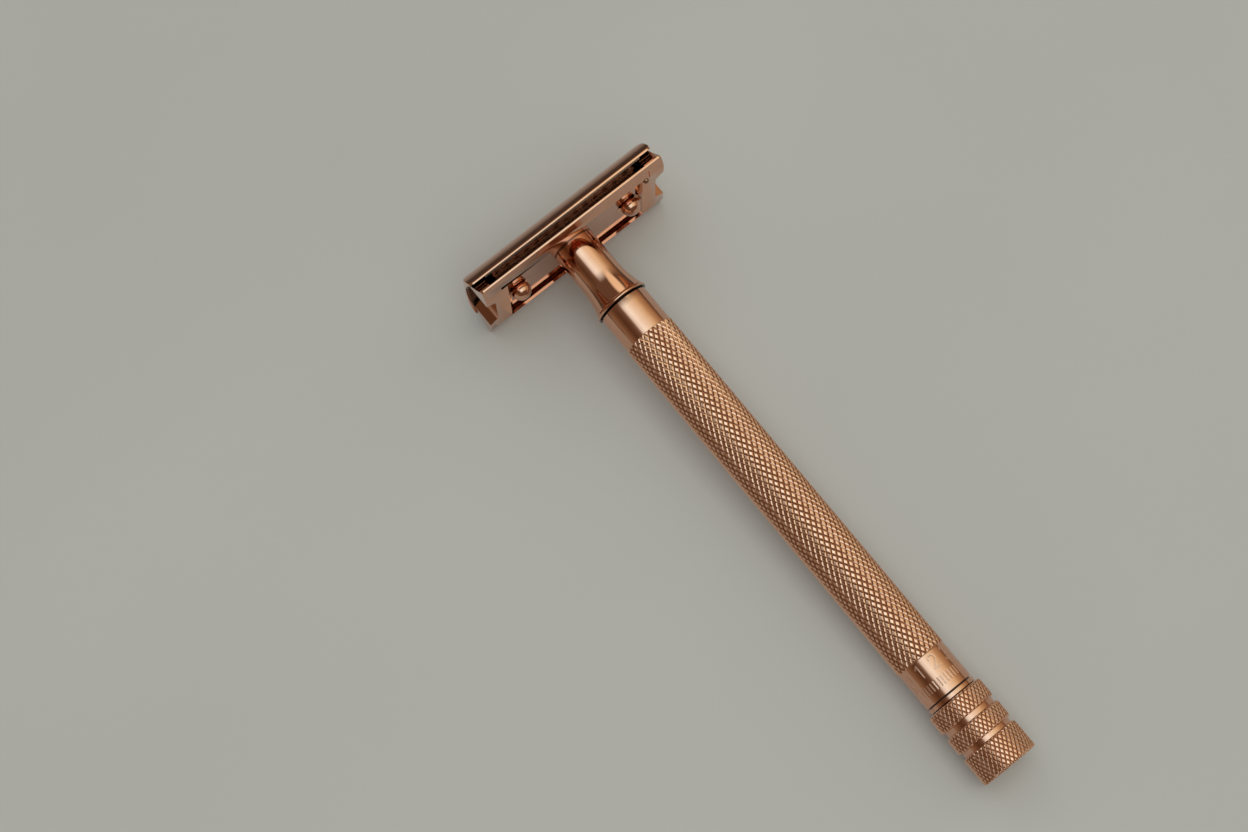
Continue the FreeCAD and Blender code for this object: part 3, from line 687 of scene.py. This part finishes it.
def cap_mesh():
    """Arched cap: a shell between two arches, with rounded ends, corners and edges."""
    near = np.array([0.0, 0.01, 0.03, 0.06, 0.1, 0.15, 0.22])
    inner = np.linspace(0.6, CAP_HALF_WIDTH, 20)
    across = 1.0 - np.concatenate([near, inner]) / CAP_HALF_WIDTH
    across = np.concatenate([across[:-1], -across[::-1]])
    end = [0.32, 0.45, 0.6, 0.8, 1.0, 1.25, 1.5, 1.8, 2.1, 2.4, 2.7, 3.1]
    along = CAP_HALF_LENGTH - np.concatenate([near, end, np.linspace(3.6, CAP_HALF_LENGTH, 14)])
    along = np.concatenate([along[:-1], -along[::-1]])
    u, y = np.meshgrid(across, along)
    from_end = CAP_HALF_LENGTH - np.abs(y)
    corner = np.clip(CAP_CORNER_ROUND - from_end, 0.0, CAP_CORNER_ROUND)
    half_width = CAP_HALF_WIDTH - (CAP_CORNER_ROUND - np.sqrt(CAP_CORNER_ROUND ** 2 - corner ** 2))
    x = u * half_width
    distance = np.minimum((1.0 - np.abs(u)) * half_width, from_end)

    arch = CAP_TOP - CAP_RADIUS + np.sqrt(CAP_RADIUS ** 2 - x ** 2)
    inside = np.clip(CAP_END_ROUND - from_end, 0.0, CAP_END_ROUND)
    side = CAP_TOP - CAP_END_ROUND + np.sqrt(CAP_END_ROUND ** 2 - inside ** 2)
    upper = smooth_min(arch, side, 0.5 * np.clip(inside, 0.0, 1.0))
    lower = BEND_CENTRE + np.sqrt(CAP_UNDER_RADIUS ** 2 - x ** 2)
    upper = np.maximum(upper, lower + CAP_LEAST_THICKNESS) - edge_drop(distance, CAP_UPPER_EDGE_ROUND)
    lower = lower + edge_drop(distance, CAP_LOWER_EDGE_ROUND)

    rows, columns = u.shape
    top = np.stack([x, y, upper], axis=-1).reshape(-1, 3)
    under = np.stack([x, y, lower], axis=-1).reshape(-1, 3)
    faces = []
    for row in range(rows - 1):
        for column in range(columns - 1):
            a = row * columns + column
            quad = (a, a + 1, a + 1 + columns, a + columns)
            faces.append(quad)
            faces.append(tuple(index + rows * columns for index in reversed(quad)))
    rim = list(range(columns))
    rim += [row * columns + columns - 1 for row in range(1, rows)]
    rim += [(rows - 1) * columns + column for column in range(columns - 2, -1, -1)]
    rim += [row * columns for row in range(rows - 2, 0, -1)]
    for index, here in enumerate(rim):
        follow = rim[(index + 1) % len(rim)]
        faces.append((here, follow, follow + rows * columns, here + rows * columns))
    mesh = bpy.data.meshes.new("cap")
    mesh.from_pydata(np.concatenate([top, under]).tolist(), [], faces)
    bm = bmesh.new()
    bm.from_mesh(mesh)
    bpy.data.meshes.remove(mesh)
    holes = [(0.0, STUD_RADIUS, STUD_TOP), (POST_Y, POST_RADIUS, POST_TOP), (-POST_Y, POST_RADIUS, POST_TOP)]
    shell = finished(bm, "cap")
    for middle, radius, ceiling in holes:
        hole = prism(circle(0.0, middle, radius), CAP_HOLE_START, ceiling - CAP_HOLE_START, "xy")
        shell = combined(shell, hole, "DIFFERENCE")
    shell.shade_smooth()
    shell.set_sharp_from_angle(angle=math.radians(40))
    return shell


def plate_profile():
    """Outline of the base plate across the head."""
    crown = [(x, BEND_CENTRE + math.sqrt(CROWN_RADIUS ** 2 - x ** 2))
             for x in np.linspace(0.0, RIDGE_INNER, 12)]
    ridge = [BEND_CENTRE + math.sqrt(RIDGE_RADIUS ** 2 - x ** 2) for x in (RIDGE_INNER, WEB_HALF_WIDTH)]
    corners = [(RIDGE_INNER, ridge[0], 0.1), (WEB_HALF_WIDTH, ridge[1], 0.12),
               (BAR_INNER, BAR_INNER_TOP, 0.1), (PLATE_HALF_WIDTH - LIP_LAND, LIP_TOP, 0.12),
               (PLATE_HALF_WIDTH, LIP_TOP, 0.14), (PLATE_HALF_WIDTH, LIP_BOTTOM, 0.14),
               (BAR_INNER, PLATE_BOTTOM)]
    half = crown + corners
    other = [(-corner[0], *corner[1:]) for corner in reversed(half[1:])]
    return rounded(half + other, 5)


def web_recess():
    """Cutter for the shallow recess under the web, with sloping ends."""
    low = PLATE_BOTTOM - 1.0
    mouth = RECESS_HALF_LENGTH + low / PLATE_BOTTOM * (RECESS_MOUTH_HALF_LENGTH - RECESS_HALF_LENGTH)
    outline = [(-RECESS_HALF_LENGTH, 0.0), (RECESS_HALF_LENGTH, 0.0), (mouth, low), (-mouth, low)]
    return prism(outline, -BAR_INNER, 2.0 * BAR_INNER, "yz")


def notch_cutter(side):
    """Cutter for the notch in one end, wider at its mouth."""
    depth = PLATE_HALF_LENGTH - NOTCH_FLOOR
    beyond = 2.0 * NOTCH_HALF_WIDTH - NOTCH_FLOOR_HALF_WIDTH
    floor, mouth = side * NOTCH_FLOOR, side * (NOTCH_FLOOR + 2.0 * depth)
    outline = rounded([(-NOTCH_FLOOR_HALF_WIDTH, floor, NOTCH_CORNER_ROUND),
                       (NOTCH_FLOOR_HALF_WIDTH, floor, NOTCH_CORNER_ROUND),
                       (beyond, mouth), (-beyond, mouth)], 8)
    return prism(outline, CUT_START, CUT_REACH, "xy")


def window_cutter(side):
    """Cutter for the long window between the web and one guard bar."""
    low, high = sorted((side * WEB_HALF_WIDTH, side * BAR_INNER))
    outline = rectangle(low, high, -WINDOW_HALF_LENGTH, WINDOW_HALF_LENGTH, WINDOW_CORNER_ROUND)
    return prism(outline, WINDOW_BOTTOM, CUT_REACH, "xy")


def post_hole_cutter(side):
    """Cutter for one post's hole, countersunk from below."""
    high, low = POST_HOLE_ENDS
    outline = [(0.0, high), (POST_HOLE_RADIUS, high), (POST_HOLE_RADIUS, POST_SINK_TOP),
               (POST_SINK_RADIUS, 0.0), (POST_SINK_RADIUS, low), (0.0, low)]
    hole = lathe("hole", outline, 64)
    hole.transform(Matrix.Translation((0.0, side * POST_Y, 0.0)))
    return hole


def scallop_cutters(side):
    """Round cutters for the row of scallops along one guard bar."""
    cutters = []
    for index in range(SCALLOPS):
        outline = circle((index - 0.5 * (SCALLOPS - 1)) * SCALLOP_SPACING, SCALLOP_Z, SCALLOP_RADIUS, 36)
        cutters.append(prism(outline, side * (BAR_INNER - SCALLOP_LEAD), side * SCALLOP_LENGTH, "yz"))
    return cutters


def mark_cutter():
    """Cutter for the fine straight mark beside the pip."""
    x, y = PIP_AT[0] + MARK_GAP, PIP_AT[1] + PIP_RADIUS + MARK_GAP
    outline = rectangle(x, x + MARK_LENGTH, y, y + MARK_WIDTH)
    return prism(outline, PLATE_BOTTOM - MARK_LEAD, MARK_LEAD + MARK_DEPTH, "xy")


def base_plate_mesh():
    """Crowned plate with windows, end notches, post holes, scalloped bars and the small alignment mark."""
    plate = prism(plate_profile(), -PLATE_HALF_LENGTH, 2 * PLATE_HALF_LENGTH, "xz")
    plan = rectangle(-PLATE_HALF_WIDTH - PLAN_OVERLAP, PLATE_HALF_WIDTH + PLAN_OVERLAP,
                     -PLATE_HALF_LENGTH + PLAN_OVERLAP, PLATE_HALF_LENGTH - PLAN_OVERLAP, PLATE_CORNER_ROUND)
    plate = combined(plate, prism(plan, CUT_START, CUT_REACH, "xy"), "INTERSECT")
    cutters = [web_recess()]
    for side in (-1, 1):
        cutters += [window_cutter(side), notch_cutter(side), post_hole_cutter(side), *scallop_cutters(side)]
    cutters.append(prism(circle(0.0, 0.0, STUD_HOLE_RADIUS, 72), CUT_START, CUT_REACH, "xy"))
    cutters.append(prism(circle(0.0, 0.0, SPIGOT_RADIUS, 72), CUT_START, SPIGOT_TOP - CUT_START, "xy"))
    cutters.append(mark_cutter())
    for cutter in cutters:
        plate = combined(plate, cutter, "DIFFERENCE")
    return softened(cleaned(plate), PLATE_EDGE_ROUND, PLATE_EDGE_ANGLE, "base_plate")


def pip_mesh():
    """Domed pip that marks one corner of the plate's underside."""
    dome = arc((0.0, PLATE_BOTTOM - PIP_SUNK), PIP_RADIUS, 0.0, -90.0, 14)
    dome[-1] = (0.0, dome[-1][1])
    root = PLATE_BOTTOM + PIP_ROOT
    pip = lathe("pip", [(0.0, root), (PIP_RADIUS, root)] + dome, 64)
    pip.transform(Matrix.Translation((*PIP_AT, 0.0)))
    return pip


def guide_posts_mesh():
    """Two cap posts, each with a collar over its ball end."""
    ball = arc((0.0, BALL_CENTRE), BALL_RADIUS, BALL_CUT_ANGLE, -90.0, 28)
    ball[-1] = (0.0, BALL_CENTRE - BALL_RADIUS)
    cone, upper, lower = (ball[0][1] + rise for rise in POST_COLLAR_RISES)
    outline = rounded([(0.0, POST_TOP), (POST_RADIUS, POST_TOP), (POST_RADIUS, cone, 0.06),
                       (POST_COLLAR_RADIUS, upper, 0.1), (POST_COLLAR_RADIUS, lower, 0.1)], 4) + ball
    bm = bmesh.new()
    for side in (-1, 1):
        post = lathe("post", outline, 96)
        post.transform(Matrix.Translation((0.0, side * POST_Y, 0.0)))
        bm.from_mesh(post)
        bpy.data.meshes.remove(post)
    return finished(bm, "guide_posts", 40)


def cap_stud_mesh():
    """Stud with a right-hand thread below its plain shank."""
    chamfer_top = STUD_TIP + STUD_CHAMFER
    side = [(STUD_RADIUS, float(z)) for z in np.arange(THREAD_START, chamfer_top, -THREAD_PITCH / 10.0)]
    taper = [(STUD_RADIUS - share * STUD_CHAMFER, chamfer_top - share * STUD_CHAMFER)
             for share in (0.0, 0.2, 0.4, 0.6, 0.8, 1.0)]
    outline = [(0.0, STUD_TOP), (STUD_RADIUS, STUD_TOP)] + side + taper + [(0.0, STUD_TIP)]

    def thread(angle, z, radius):
        """Depth of a right-hand groove that fades out at its top and along the tip's chamfer."""
        phase = (z / THREAD_PITCH - angle / TURN) % 1.0
        groove = THREAD_DEPTH * np.clip(1.15 * (1.0 - np.abs(2.0 * phase - 1.0)) - 0.1, 0.0, 1.0)
        fade = np.clip((THREAD_START - z) / THREAD_PITCH, 0.0, 1.0)
        return groove * fade * np.clip((radius - 1.8) / 0.5, 0.0, 1.0)

    return lathe("cap_stud", outline, 72, thread, 35)


add_piece("cap_shell", cap_mesh(), "cap", "rose_gold", gold, "cap")
add_piece("cap_posts", guide_posts_mesh(), "cap", "rose_gold", gold, "guide_posts")
add_piece("cap_threaded_stud", cap_stud_mesh(), "cap", "rose_gold", gold, "cap_stud")
add_piece("guard_plate", base_plate_mesh(), "handle", "rose_gold", gold, "base_plate")
add_piece("guard_pip", pip_mesh(), "handle", "rose_gold", gold_dull_painted_dark, "base_plate")


# ---------------------------------------------------------------- handle
def neck_mesh():
    """Waisted neck with its flared, rounded flange."""
    rise, spread = NECK_STRAIGHT_END - FLARE_END, FLARE_RADIUS - NECK_RADIUS
    flare = (rise ** 2 + spread ** 2) / (2.0 * spread)
    last = math.degrees(math.asin(rise / flare))
    curve = arc((NECK_RADIUS + flare, NECK_STRAIGHT_END), flare, 180.0, 180.0 + last, 27)
    bulge = FLANGE_RADIUS - FLARE_RADIUS
    lip = [(FLARE_RADIUS + bulge * math.sin(math.pi * s), FLARE_END + (NECK_END - FLARE_END) * s)
           for s in np.linspace(0.0, 1.0, 13)]
    outline = ([(NECK_BORE, SPIGOT_TOP), (SPIGOT_RADIUS, SPIGOT_TOP), (SPIGOT_RADIUS, 0.0),
                (NECK_RADIUS, 0.0)]
               + [(NECK_RADIUS, z) for z in (-0.05, -2.0, -4.0, -6.0)] + curve + lip[1:]
               + [(TUBE_BORE, NECK_END), (TUBE_BORE, NECK_SLEEVE_END), (NECK_BORE, NECK_SLEEVE_END)])
    return lathe("neck", outline, 256)


def collar_mesh():
    """Plain top of the handle tube, with the groove under the flange, which its material paints dark as shade.
    """
    groove = NECK_END - COLLAR_GROOVE_WIDTH
    outline = rounded([(TUBE_BORE, NECK_END), (COLLAR_GROOVE_RADIUS, NECK_END),
                       (COLLAR_GROOVE_RADIUS, groove), (COLLAR_RADIUS, groove, 0.07),
                       (COLLAR_RADIUS, -17.5), (COLLAR_RADIUS, -20.0), (COLLAR_RADIUS, GRIP_TOP, 0.04),
                       (TUBE_BORE, GRIP_TOP)])
    return lathe("collar", outline, 256)


def stroke_points():
    """Ten figures as strokes in a box 0.6 wide and 1 high."""
    def bow(cx, cy, rx, ry, first, last, steps=14):
        """Elliptical arc, with angles in degrees."""
        angles = np.radians(np.linspace(first, last, steps + 1))
        return [(cx + rx * math.cos(a), cy + ry * math.sin(a)) for a in angles]

    return [
        [bow(0.3, 0.5, 0.27, 0.5, 0, 360, 28)],
        [[(0.08, 0.76), (0.34, 1.0), (0.34, 0.0)]],
        [bow(0.3, 0.72, 0.26, 0.28, 170, -35) + [(0.05, 0.0), (0.58, 0.0)]],
        [bow(0.28, 0.75, 0.25, 0.25, 150, -80) + bow(0.28, 0.26, 0.29, 0.26, 80, -150)],
        [[(0.45, 0.0), (0.45, 1.0), (0.02, 0.3), (0.6, 0.3)]],
        [[(0.54, 1.0), (0.12, 1.0), (0.08, 0.56)] + bow(0.28, 0.32, 0.29, 0.32, 125, -145)],
        [bow(0.45, 0.5, 0.42, 0.5, 95, 180, 10) + bow(0.31, 0.3, 0.28, 0.3, 180, -180, 24)],
        [[(0.03, 1.0), (0.57, 1.0), (0.22, 0.0)]],
        [bow(0.3, 0.76, 0.23, 0.24, 0, 360, 22), bow(0.3, 0.27, 0.28, 0.27, 0, 360, 24)],
        [bow(0.29, 0.7, 0.28, 0.3, 0, 360, 24) + bow(0.15, 0.5, 0.42, 0.5, 0, -85, 10)],
    ]


FIGURE_HEIGHT = 2.6
FIGURE_BOTTOM = -106.35
FIGURE_STROKE = 0.14
SCALE_TICK_TOP = -107.75
SCALE_TICK_BOTTOM = -109.6
SCALE_TICK_HALF_WIDTH = 0.16
SCALE_LINE_HALF_WIDTH = 0.09
FIRST_FIGURE = math.radians(-64.65)
ENGRAVING = 0.035


def nearest_stroke(x, z, strokes):
    """Distance from each point to the nearest stroke, both in mm."""
    best = np.full(x.shape, 9.0)
    for stroke in strokes:
        for (ax, az), (bx, bz) in zip(stroke, stroke[1:]):
            dx, dz = bx - ax, bz - az
            share = np.clip(((x - ax) * dx + (z - az) * dz) / max(dx * dx + dz * dz, 1e-12), 0.0, 1.0)
            best = np.minimum(best, np.hypot(x - ax - share * dx, z - az - share * dz))
    return best


def scale_relief(angle, z, radius):
    """Engraved figures, ticks and the fine line between them."""
    on_face = radius > COLLAR_RADIUS - 0.01
    soft = 0.1
    tenth = TURN / 10.0
    depth = np.zeros_like(angle)
    for figure, strokes in enumerate(stroke_points()):
        offset = (angle - FIRST_FIGURE - figure * tenth + math.pi) % TURN - math.pi
        x = offset * COLLAR_RADIUS
        close = np.abs(x) < 1.3
        placed = [[((px - 0.3) * FIGURE_HEIGHT, FIGURE_BOTTOM + pz * FIGURE_HEIGHT) for px, pz in stroke]
                  for stroke in strokes]
        distance = np.full(angle.shape, 9.0)
        distance[close] = nearest_stroke(x[close], z[close], placed)
        depth = np.maximum(depth, np.clip((FIGURE_STROKE + 0.5 * soft - distance) / soft, 0.0, 1.0))
    step = tenth / 4.0
    tick_x = ((angle - FIRST_FIGURE + 0.5 * step) % step - 0.5 * step) * COLLAR_RADIUS
    outside = np.maximum(z - SCALE_TICK_TOP, SCALE_TICK_BOTTOM - z)
    outside = np.maximum(np.abs(tick_x) - SCALE_TICK_HALF_WIDTH, outside)
    depth = np.maximum(depth, np.clip(0.5 - outside / soft, 0.0, 1.0))
    line = np.clip(1.0 - np.abs(z - SCALE_LINE) / SCALE_LINE_HALF_WIDTH, 0.0, 1.0)
    return np.where(on_face, ENGRAVING * np.maximum(depth, 0.7 * line), 0.0)


def scale_ring_mesh():
    """Ring with the engraved scale, its spigot and its bore."""
    face = [(COLLAR_RADIUS, float(z)) for z in np.arange(GRIP_END - 0.1, SCALE_END + 0.14, -0.07)]
    outline = ([(SCALE_BORE, SCALE_SPIGOT_TOP), (TUBE_BORE, SCALE_SPIGOT_TOP), (TUBE_BORE, GRIP_END),
                (COLLAR_RADIUS - 0.04, GRIP_END)] + face
               + [(COLLAR_RADIUS, SCALE_END + 0.12), (COLLAR_RADIUS - 0.03, SCALE_END + 0.04),
                  (COLLAR_RADIUS - 0.1, SCALE_END), (SCALE_BORE, SCALE_END)])
    return lathe("scale_ring", outline, 480, scale_relief, 30)


def grip_mesh():
    """Knurled length of the handle tube."""
    return knurled_sleeve("grip", GRIP_RADIUS, KNURL_DEPTH, GRIP_KNURL_STARTS, GRIP_KNURL_PITCH,
                          GRIP_TOP, GRIP_END, TUBE_BORE, GRIP_SHOULDER)


add_piece("handle_neck", neck_mesh(), "handle", "rose_gold", gold_gap_shaded, "neck")
add_piece("handle_collar", collar_mesh(), "handle", "knurled_rose_gold", gold_gap_shaded, "handle_tube")
add_piece("handle_grip", grip_mesh(), "handle", "knurled_rose_gold", gold_knurled, "handle_tube")
add_piece("handle_scale", scale_ring_mesh(), "handle", "rose_gold", gold_engraved, "scale_ring")


# ---------------------------------------------------------------- knob
INDEX_DEPTH = 0.05
INDEX_EDGE = 0.05
INDEX_HALF_WIDTH = 0.175


def index_relief(angle, z, radius):
    """One engraved index line across the ring."""
    offset = ((angle - FIRST_FIGURE + math.pi) % TURN - math.pi) * COLLAR_RADIUS
    share = np.clip((INDEX_HALF_WIDTH - np.abs(offset)) / INDEX_EDGE, 0.0, 1.0)
    return np.where(radius > COLLAR_RADIUS - 0.01, INDEX_DEPTH * share, 0.0)


def index_ring_mesh():
    """Plain ring with the index line."""
    face = [(COLLAR_RADIUS, float(z)) for z in np.linspace(THRUST_END - 0.08, INDEX_END + 0.08, 6)]
    near, corner = COLLAR_RADIUS - 0.02, COLLAR_RADIUS - 0.08
    outline = ([(HUB_RADIUS, THRUST_END), (corner, THRUST_END), (near, THRUST_END - 0.03)] + face
               + [(near, INDEX_END + 0.03), (corner, INDEX_END), (HUB_RADIUS, INDEX_END)])
    return lathe("index_ring", outline, 480, index_relief)


def knob_core_mesh():
    """Inside of the knob: its hub, neck, grooves, screw well and end face."""
    top = KNOB_BANDS[0][0]
    outline = [(ROD_STUB_RADIUS, THRUST_END), (HUB_RADIUS, THRUST_END), (HUB_RADIUS, INDEX_END),
               (KNOB_NECK_RADIUS, INDEX_END), (KNOB_NECK_RADIUS, top), (KNOB_CORE_RADIUS, top),
               (KNOB_CORE_RADIUS, KNOB_END), (PLUG_RADIUS + 0.06, KNOB_END), (PLUG_RADIUS, KNOB_END + 0.06),
               (PLUG_RADIUS, PLUG_TOP), (SCREW_WELL_RADIUS, PLUG_TOP), (SCREW_WELL_RADIUS, SCREW_WELL_TOP),
               (SCREW_RADIUS, SCREW_WELL_TOP), (SCREW_RADIUS, ROD_STUB_END), (ROD_STUB_RADIUS, ROD_STUB_END)]
    return lathe("knob_core", outline, 256)


def knob_band_meshes():
    """Three knurled bands with rounded shoulders."""
    return [knurled_sleeve("band", KNOB_RADIUS, KNURL_DEPTH, KNOB_KNURL_STARTS, KNOB_KNURL_PITCH,
                           top, bottom, KNOB_CORE_RADIUS, KNOB_SHOULDER) for top, bottom in KNOB_BANDS]


def end_plug_mesh():
    """Disc in the knob's end, turned slightly hollow."""
    outline = rounded([(0.0, PLUG_TOP), (PLUG_RADIUS, PLUG_TOP), (PLUG_RADIUS, KNOB_END, 0.06),
                       (3.1, KNOB_END), (0.0, KNOB_END + 0.12)], 3)
    return lathe("end_plug", outline, 192)


add_piece("index_collar", index_ring_mesh(), "knob", "rose_gold", gold_engraved, "index_ring")
add_piece("knob_core", knob_core_mesh(), "knob", "knurled_rose_gold", gold_turned_gap_shaded, "knob")
for number, band in enumerate(knob_band_meshes(), 1):
    add_piece("knob_band_%d" % number, band, "knob", "knurled_rose_gold", gold_knurled, "knob")
add_piece("knob_end_disc", end_plug_mesh(), "knob", "rose_gold", gold_turned_gap_shaded, "end_plug")


# ---------------------------------------------------------------- stage
def make_floor():
    """Wide pale surface with a very faint mottling."""
    mesh = bpy.data.meshes.new("floor")
    mesh.from_pydata([(-3, -3, 0), (3, -3, 0), (3, 3, 0), (-3, 3, 0)], [], [(0, 1, 2, 3)])
    material, tree, shader = new_material("pale_floor", Roughness=0.6)
    where = add_node(tree, "TexCoord").outputs["Object"]
    mottling = remapped(tree, noise(tree, where, 9.0, 4.0), 0.3, 0.7)
    tree.links.new(mixed(tree, mottling, colour(0.62, 0.60, 0.55), colour(0.64, 0.62, 0.575)),
                   shader.inputs["Base Color"])
    mesh.materials.append(material)
    floor = placed("floor", mesh)


def area_light(name, location, target, size, radiance, tint):
    """Rectangular soft light for the floor and its shadows; the reflections come from the surroundings."""
    data = bpy.data.lights.new(name, "AREA")
    data.shape = "RECTANGLE"
    data.size, data.size_y = size
    data.energy = radiance * math.pi * size[0] * size[1]
    data.color = tint
    light = placed(name, data)
    light.location = location
    light.rotation_mode = "QUATERNION"
    light.rotation_quaternion = (Vector(location) - Vector(target)).to_track_quat("Z", "X")
    light.visible_camera = False
    light.visible_glossy = False


DARK_ROOM = (0.16, 0.105, 0.07)
AROUND_HANDLE = [
    (-180, DARK_ROOM), (-96, (0.33, 0.25, 0.17)), (-84, (0.29, 0.22, 0.15)), (-70, (0.20, 0.13, 0.075)),
    (-54, (0.114, 0.065, 0.035)), (-38, (0.164, 0.11, 0.075)), (-29, (0.25, 0.20, 0.15)),
    (-20, (1.05, 1.30, 1.40)), (-6, (1.32, 1.72, 1.85)), (10, (1.20, 1.42, 1.36)), (26, (1.07, 1.18, 1.0)),
    (42, (0.92, 0.88, 0.62)), (58, (0.61, 0.50, 0.30)), (74, (0.44, 0.32, 0.19)), (90, (0.177, 0.106, 0.064)),
    (180, DARK_ROOM)]
CAPWARD_EDGE = (15.0, 26.0)
KNOBWARD_EDGE = (-29.0, -42.0)
FILL_LIGHT = (0.27, 0.27, 0.265)
BACKDROP = (0.366, 0.352, 0.319)


def component(tree, direction, axis):
    """Part of a direction along an axis."""
    return add_node(tree, "VectorMath", {0: direction, 1: axis}, operation="DOT_PRODUCT").outputs["Value"]


def make_world():
    """Dim brown room with a window-like panel, which the metal mirrors, and a pale backdrop."""
    SCENE.world = bpy.data.worlds.new("surroundings")
    tree = emptied_tree(SCENE.world)
    towards = add_node(tree, "TexCoord").outputs["Generated"]
    up, sideways, capward = (component(tree, towards, axis) for axis in (ACROSS, ALONG, TO_CAP))
    around = add_node(tree, "Math", {0: sideways, 1: up}, operation="ARCTAN2").outputs[0]
    ramp = add_node(tree, "ValToRGB", {"Fac": remapped(tree, around, -math.pi, math.pi)})
    stops = ramp.color_ramp.elements
    for index, (angle, tint) in enumerate(AROUND_HANDLE):
        place = 0.5 + angle / 360.0
        stop = stops[index] if index < 2 else stops.new(place)
        stop.position = place
        stop.color = colour(*tint)
    slant = add_node(tree, "Math", {0: capward}, operation="ARCSINE").outputs[0]
    inside_cap = remapped(tree, slant, *(math.radians(a) for a in CAPWARD_EDGE), 1.0, 0.0)
    inside_knob = remapped(tree, slant, *(math.radians(a) for a in KNOBWARD_EDGE), 1.0, 0.0)
    panel = add_node(tree, "Math", {0: inside_cap, 1: inside_knob}, operation="MULTIPLY").outputs[0]
    room = mixed(tree, panel, colour(*DARK_ROOM), ramp.outputs["Color"])
    mirrored, lit, pale = (add_node(tree, "Background", {"Color": tint, "Strength": 1.0}).outputs[0]
                           for tint in (room, colour(*FILL_LIGHT), colour(*BACKDROP)))
    path = add_node(tree, "LightPath").outputs
    soft = add_node(tree, "MixShader", {0: path["Is Diffuse Ray"], 1: mirrored, 2: lit}).outputs[0]
    both = add_node(tree, "MixShader", {0: path["Is Camera Ray"], 1: soft, 2: pale})
    add_node(tree, "OutputWorld", {"Surface": both.outputs[0]})


def add_card(name, mesh, material):
    """Card that is seen only in reflections."""
    mesh.materials.append(material)
    card = placed(name, mesh)
    card.visible_camera = False
    card.visible_diffuse = False
    card.visible_shadow = False
    return card


def make_dark_card():
    """Dark card beyond the head, fading in from its near edge."""
    mesh = bpy.data.meshes.new("dark_card")
    near, far, half, lift, fade = -0.080, -2.0, 1.5, 0.0005, 0.030
    corners = [(far, -half, lift), (near, -half, lift), (near, half, lift), (far, half, lift)]
    mesh.from_pydata(corners, [], [(0, 1, 2, 3)])
    material, tree, shader = new_material("dark_card", Roughness=0.9)
    shader.inputs["Base Color"].default_value = colour(0.09, 0.065, 0.055)
    split = add_node(tree, "SeparateXYZ", {"Vector": add_node(tree, "TexCoord").outputs["Object"]})
    tree.links.new(remapped(tree, split.outputs["X"], near, near - fade), shader.inputs["Alpha"])
    card = add_card("dark_card", mesh, material)


def make_bounce_card():
    """Pale round-faded card over the head, which the flare of the neck mirrors."""
    centre, reach = Vector((50.0, 26.0, 25.0)), 24.0
    facing = (Vector((4.0, 1.0, -12.0)) - centre).normalized()
    side = facing.cross(Vector((0.0, 0.0, 1.0))).normalized()
    rise = side.cross(facing)
    mesh = bpy.data.meshes.new("bounce_card")
    corners = [PLACE @ (centre + reach * (a * side + b * rise))
               for a, b in ((-1, -1), (1, -1), (1, 1), (-1, 1))]
    mesh.from_pydata([tuple(corner) for corner in corners], [], [(0, 1, 2, 3)])
    material = bpy.data.materials.new("bounce_card")
    tree = emptied_tree(material)
    offset = add_node(tree, "VectorMath", {0: razor_coordinates(tree), 1: centre}, operation="DISTANCE")
    share = remapped(tree, offset.outputs["Value"], 0.55 * reach, 0.98 * reach, 1.0, 0.0)
    glow = add_node(tree, "Emission", {"Color": colour(1.0, 0.98, 0.74), "Strength": 1.15})
    clear = add_node(tree, "BsdfTransparent")
    both = add_node(tree, "MixShader", {0: share, 1: clear.outputs[0], 2: glow.outputs[0]})
    add_node(tree, "OutputMaterial", {"Surface": both.outputs[0]})
    card = add_card("bounce_card", mesh, material)


def make_camera():
    """Camera at the photograph's viewing angle; its place and axes are in the razor's own axes."""
    place = Vector((479.209, -83.5423, -123.5077))
    right = Vector((-0.0057515, 0.7782652, -0.6279094))
    down = Vector((-0.2327439, -0.6117171, -0.7560638))
    forward = Vector((-0.9725211, 0.1417936, 0.1846547))
    data = bpy.data.cameras.new("camera")
    data.lens = 75.0
    data.sensor_fit = "HORIZONTAL"
    data.sensor_width = 36.0
    data.clip_start = 0.01
    camera = placed("camera", data)
    turned = AXES @ Matrix((right, -down, -forward)).transposed()
    camera.matrix_world = Matrix.Translation(PLACE @ place) @ turned.to_4x4()
    SCENE.camera = camera


make_floor()
make_world()
make_dark_card()
make_bounce_card()
area_light("overhead", (0.0, -0.04, 1.0), (0.0, -0.04, 0.0), (2.4, 0.8), 0.70, (1.0, 1.0, 1.0))
area_light("side", (0.0, 0.85, 0.75), (0.0, 0.0, 0.0), (2.4, 0.7), 0.3, (1.0, 0.97, 0.9))
make_camera()
SCENE.view_settings.view_transform = "Standard"
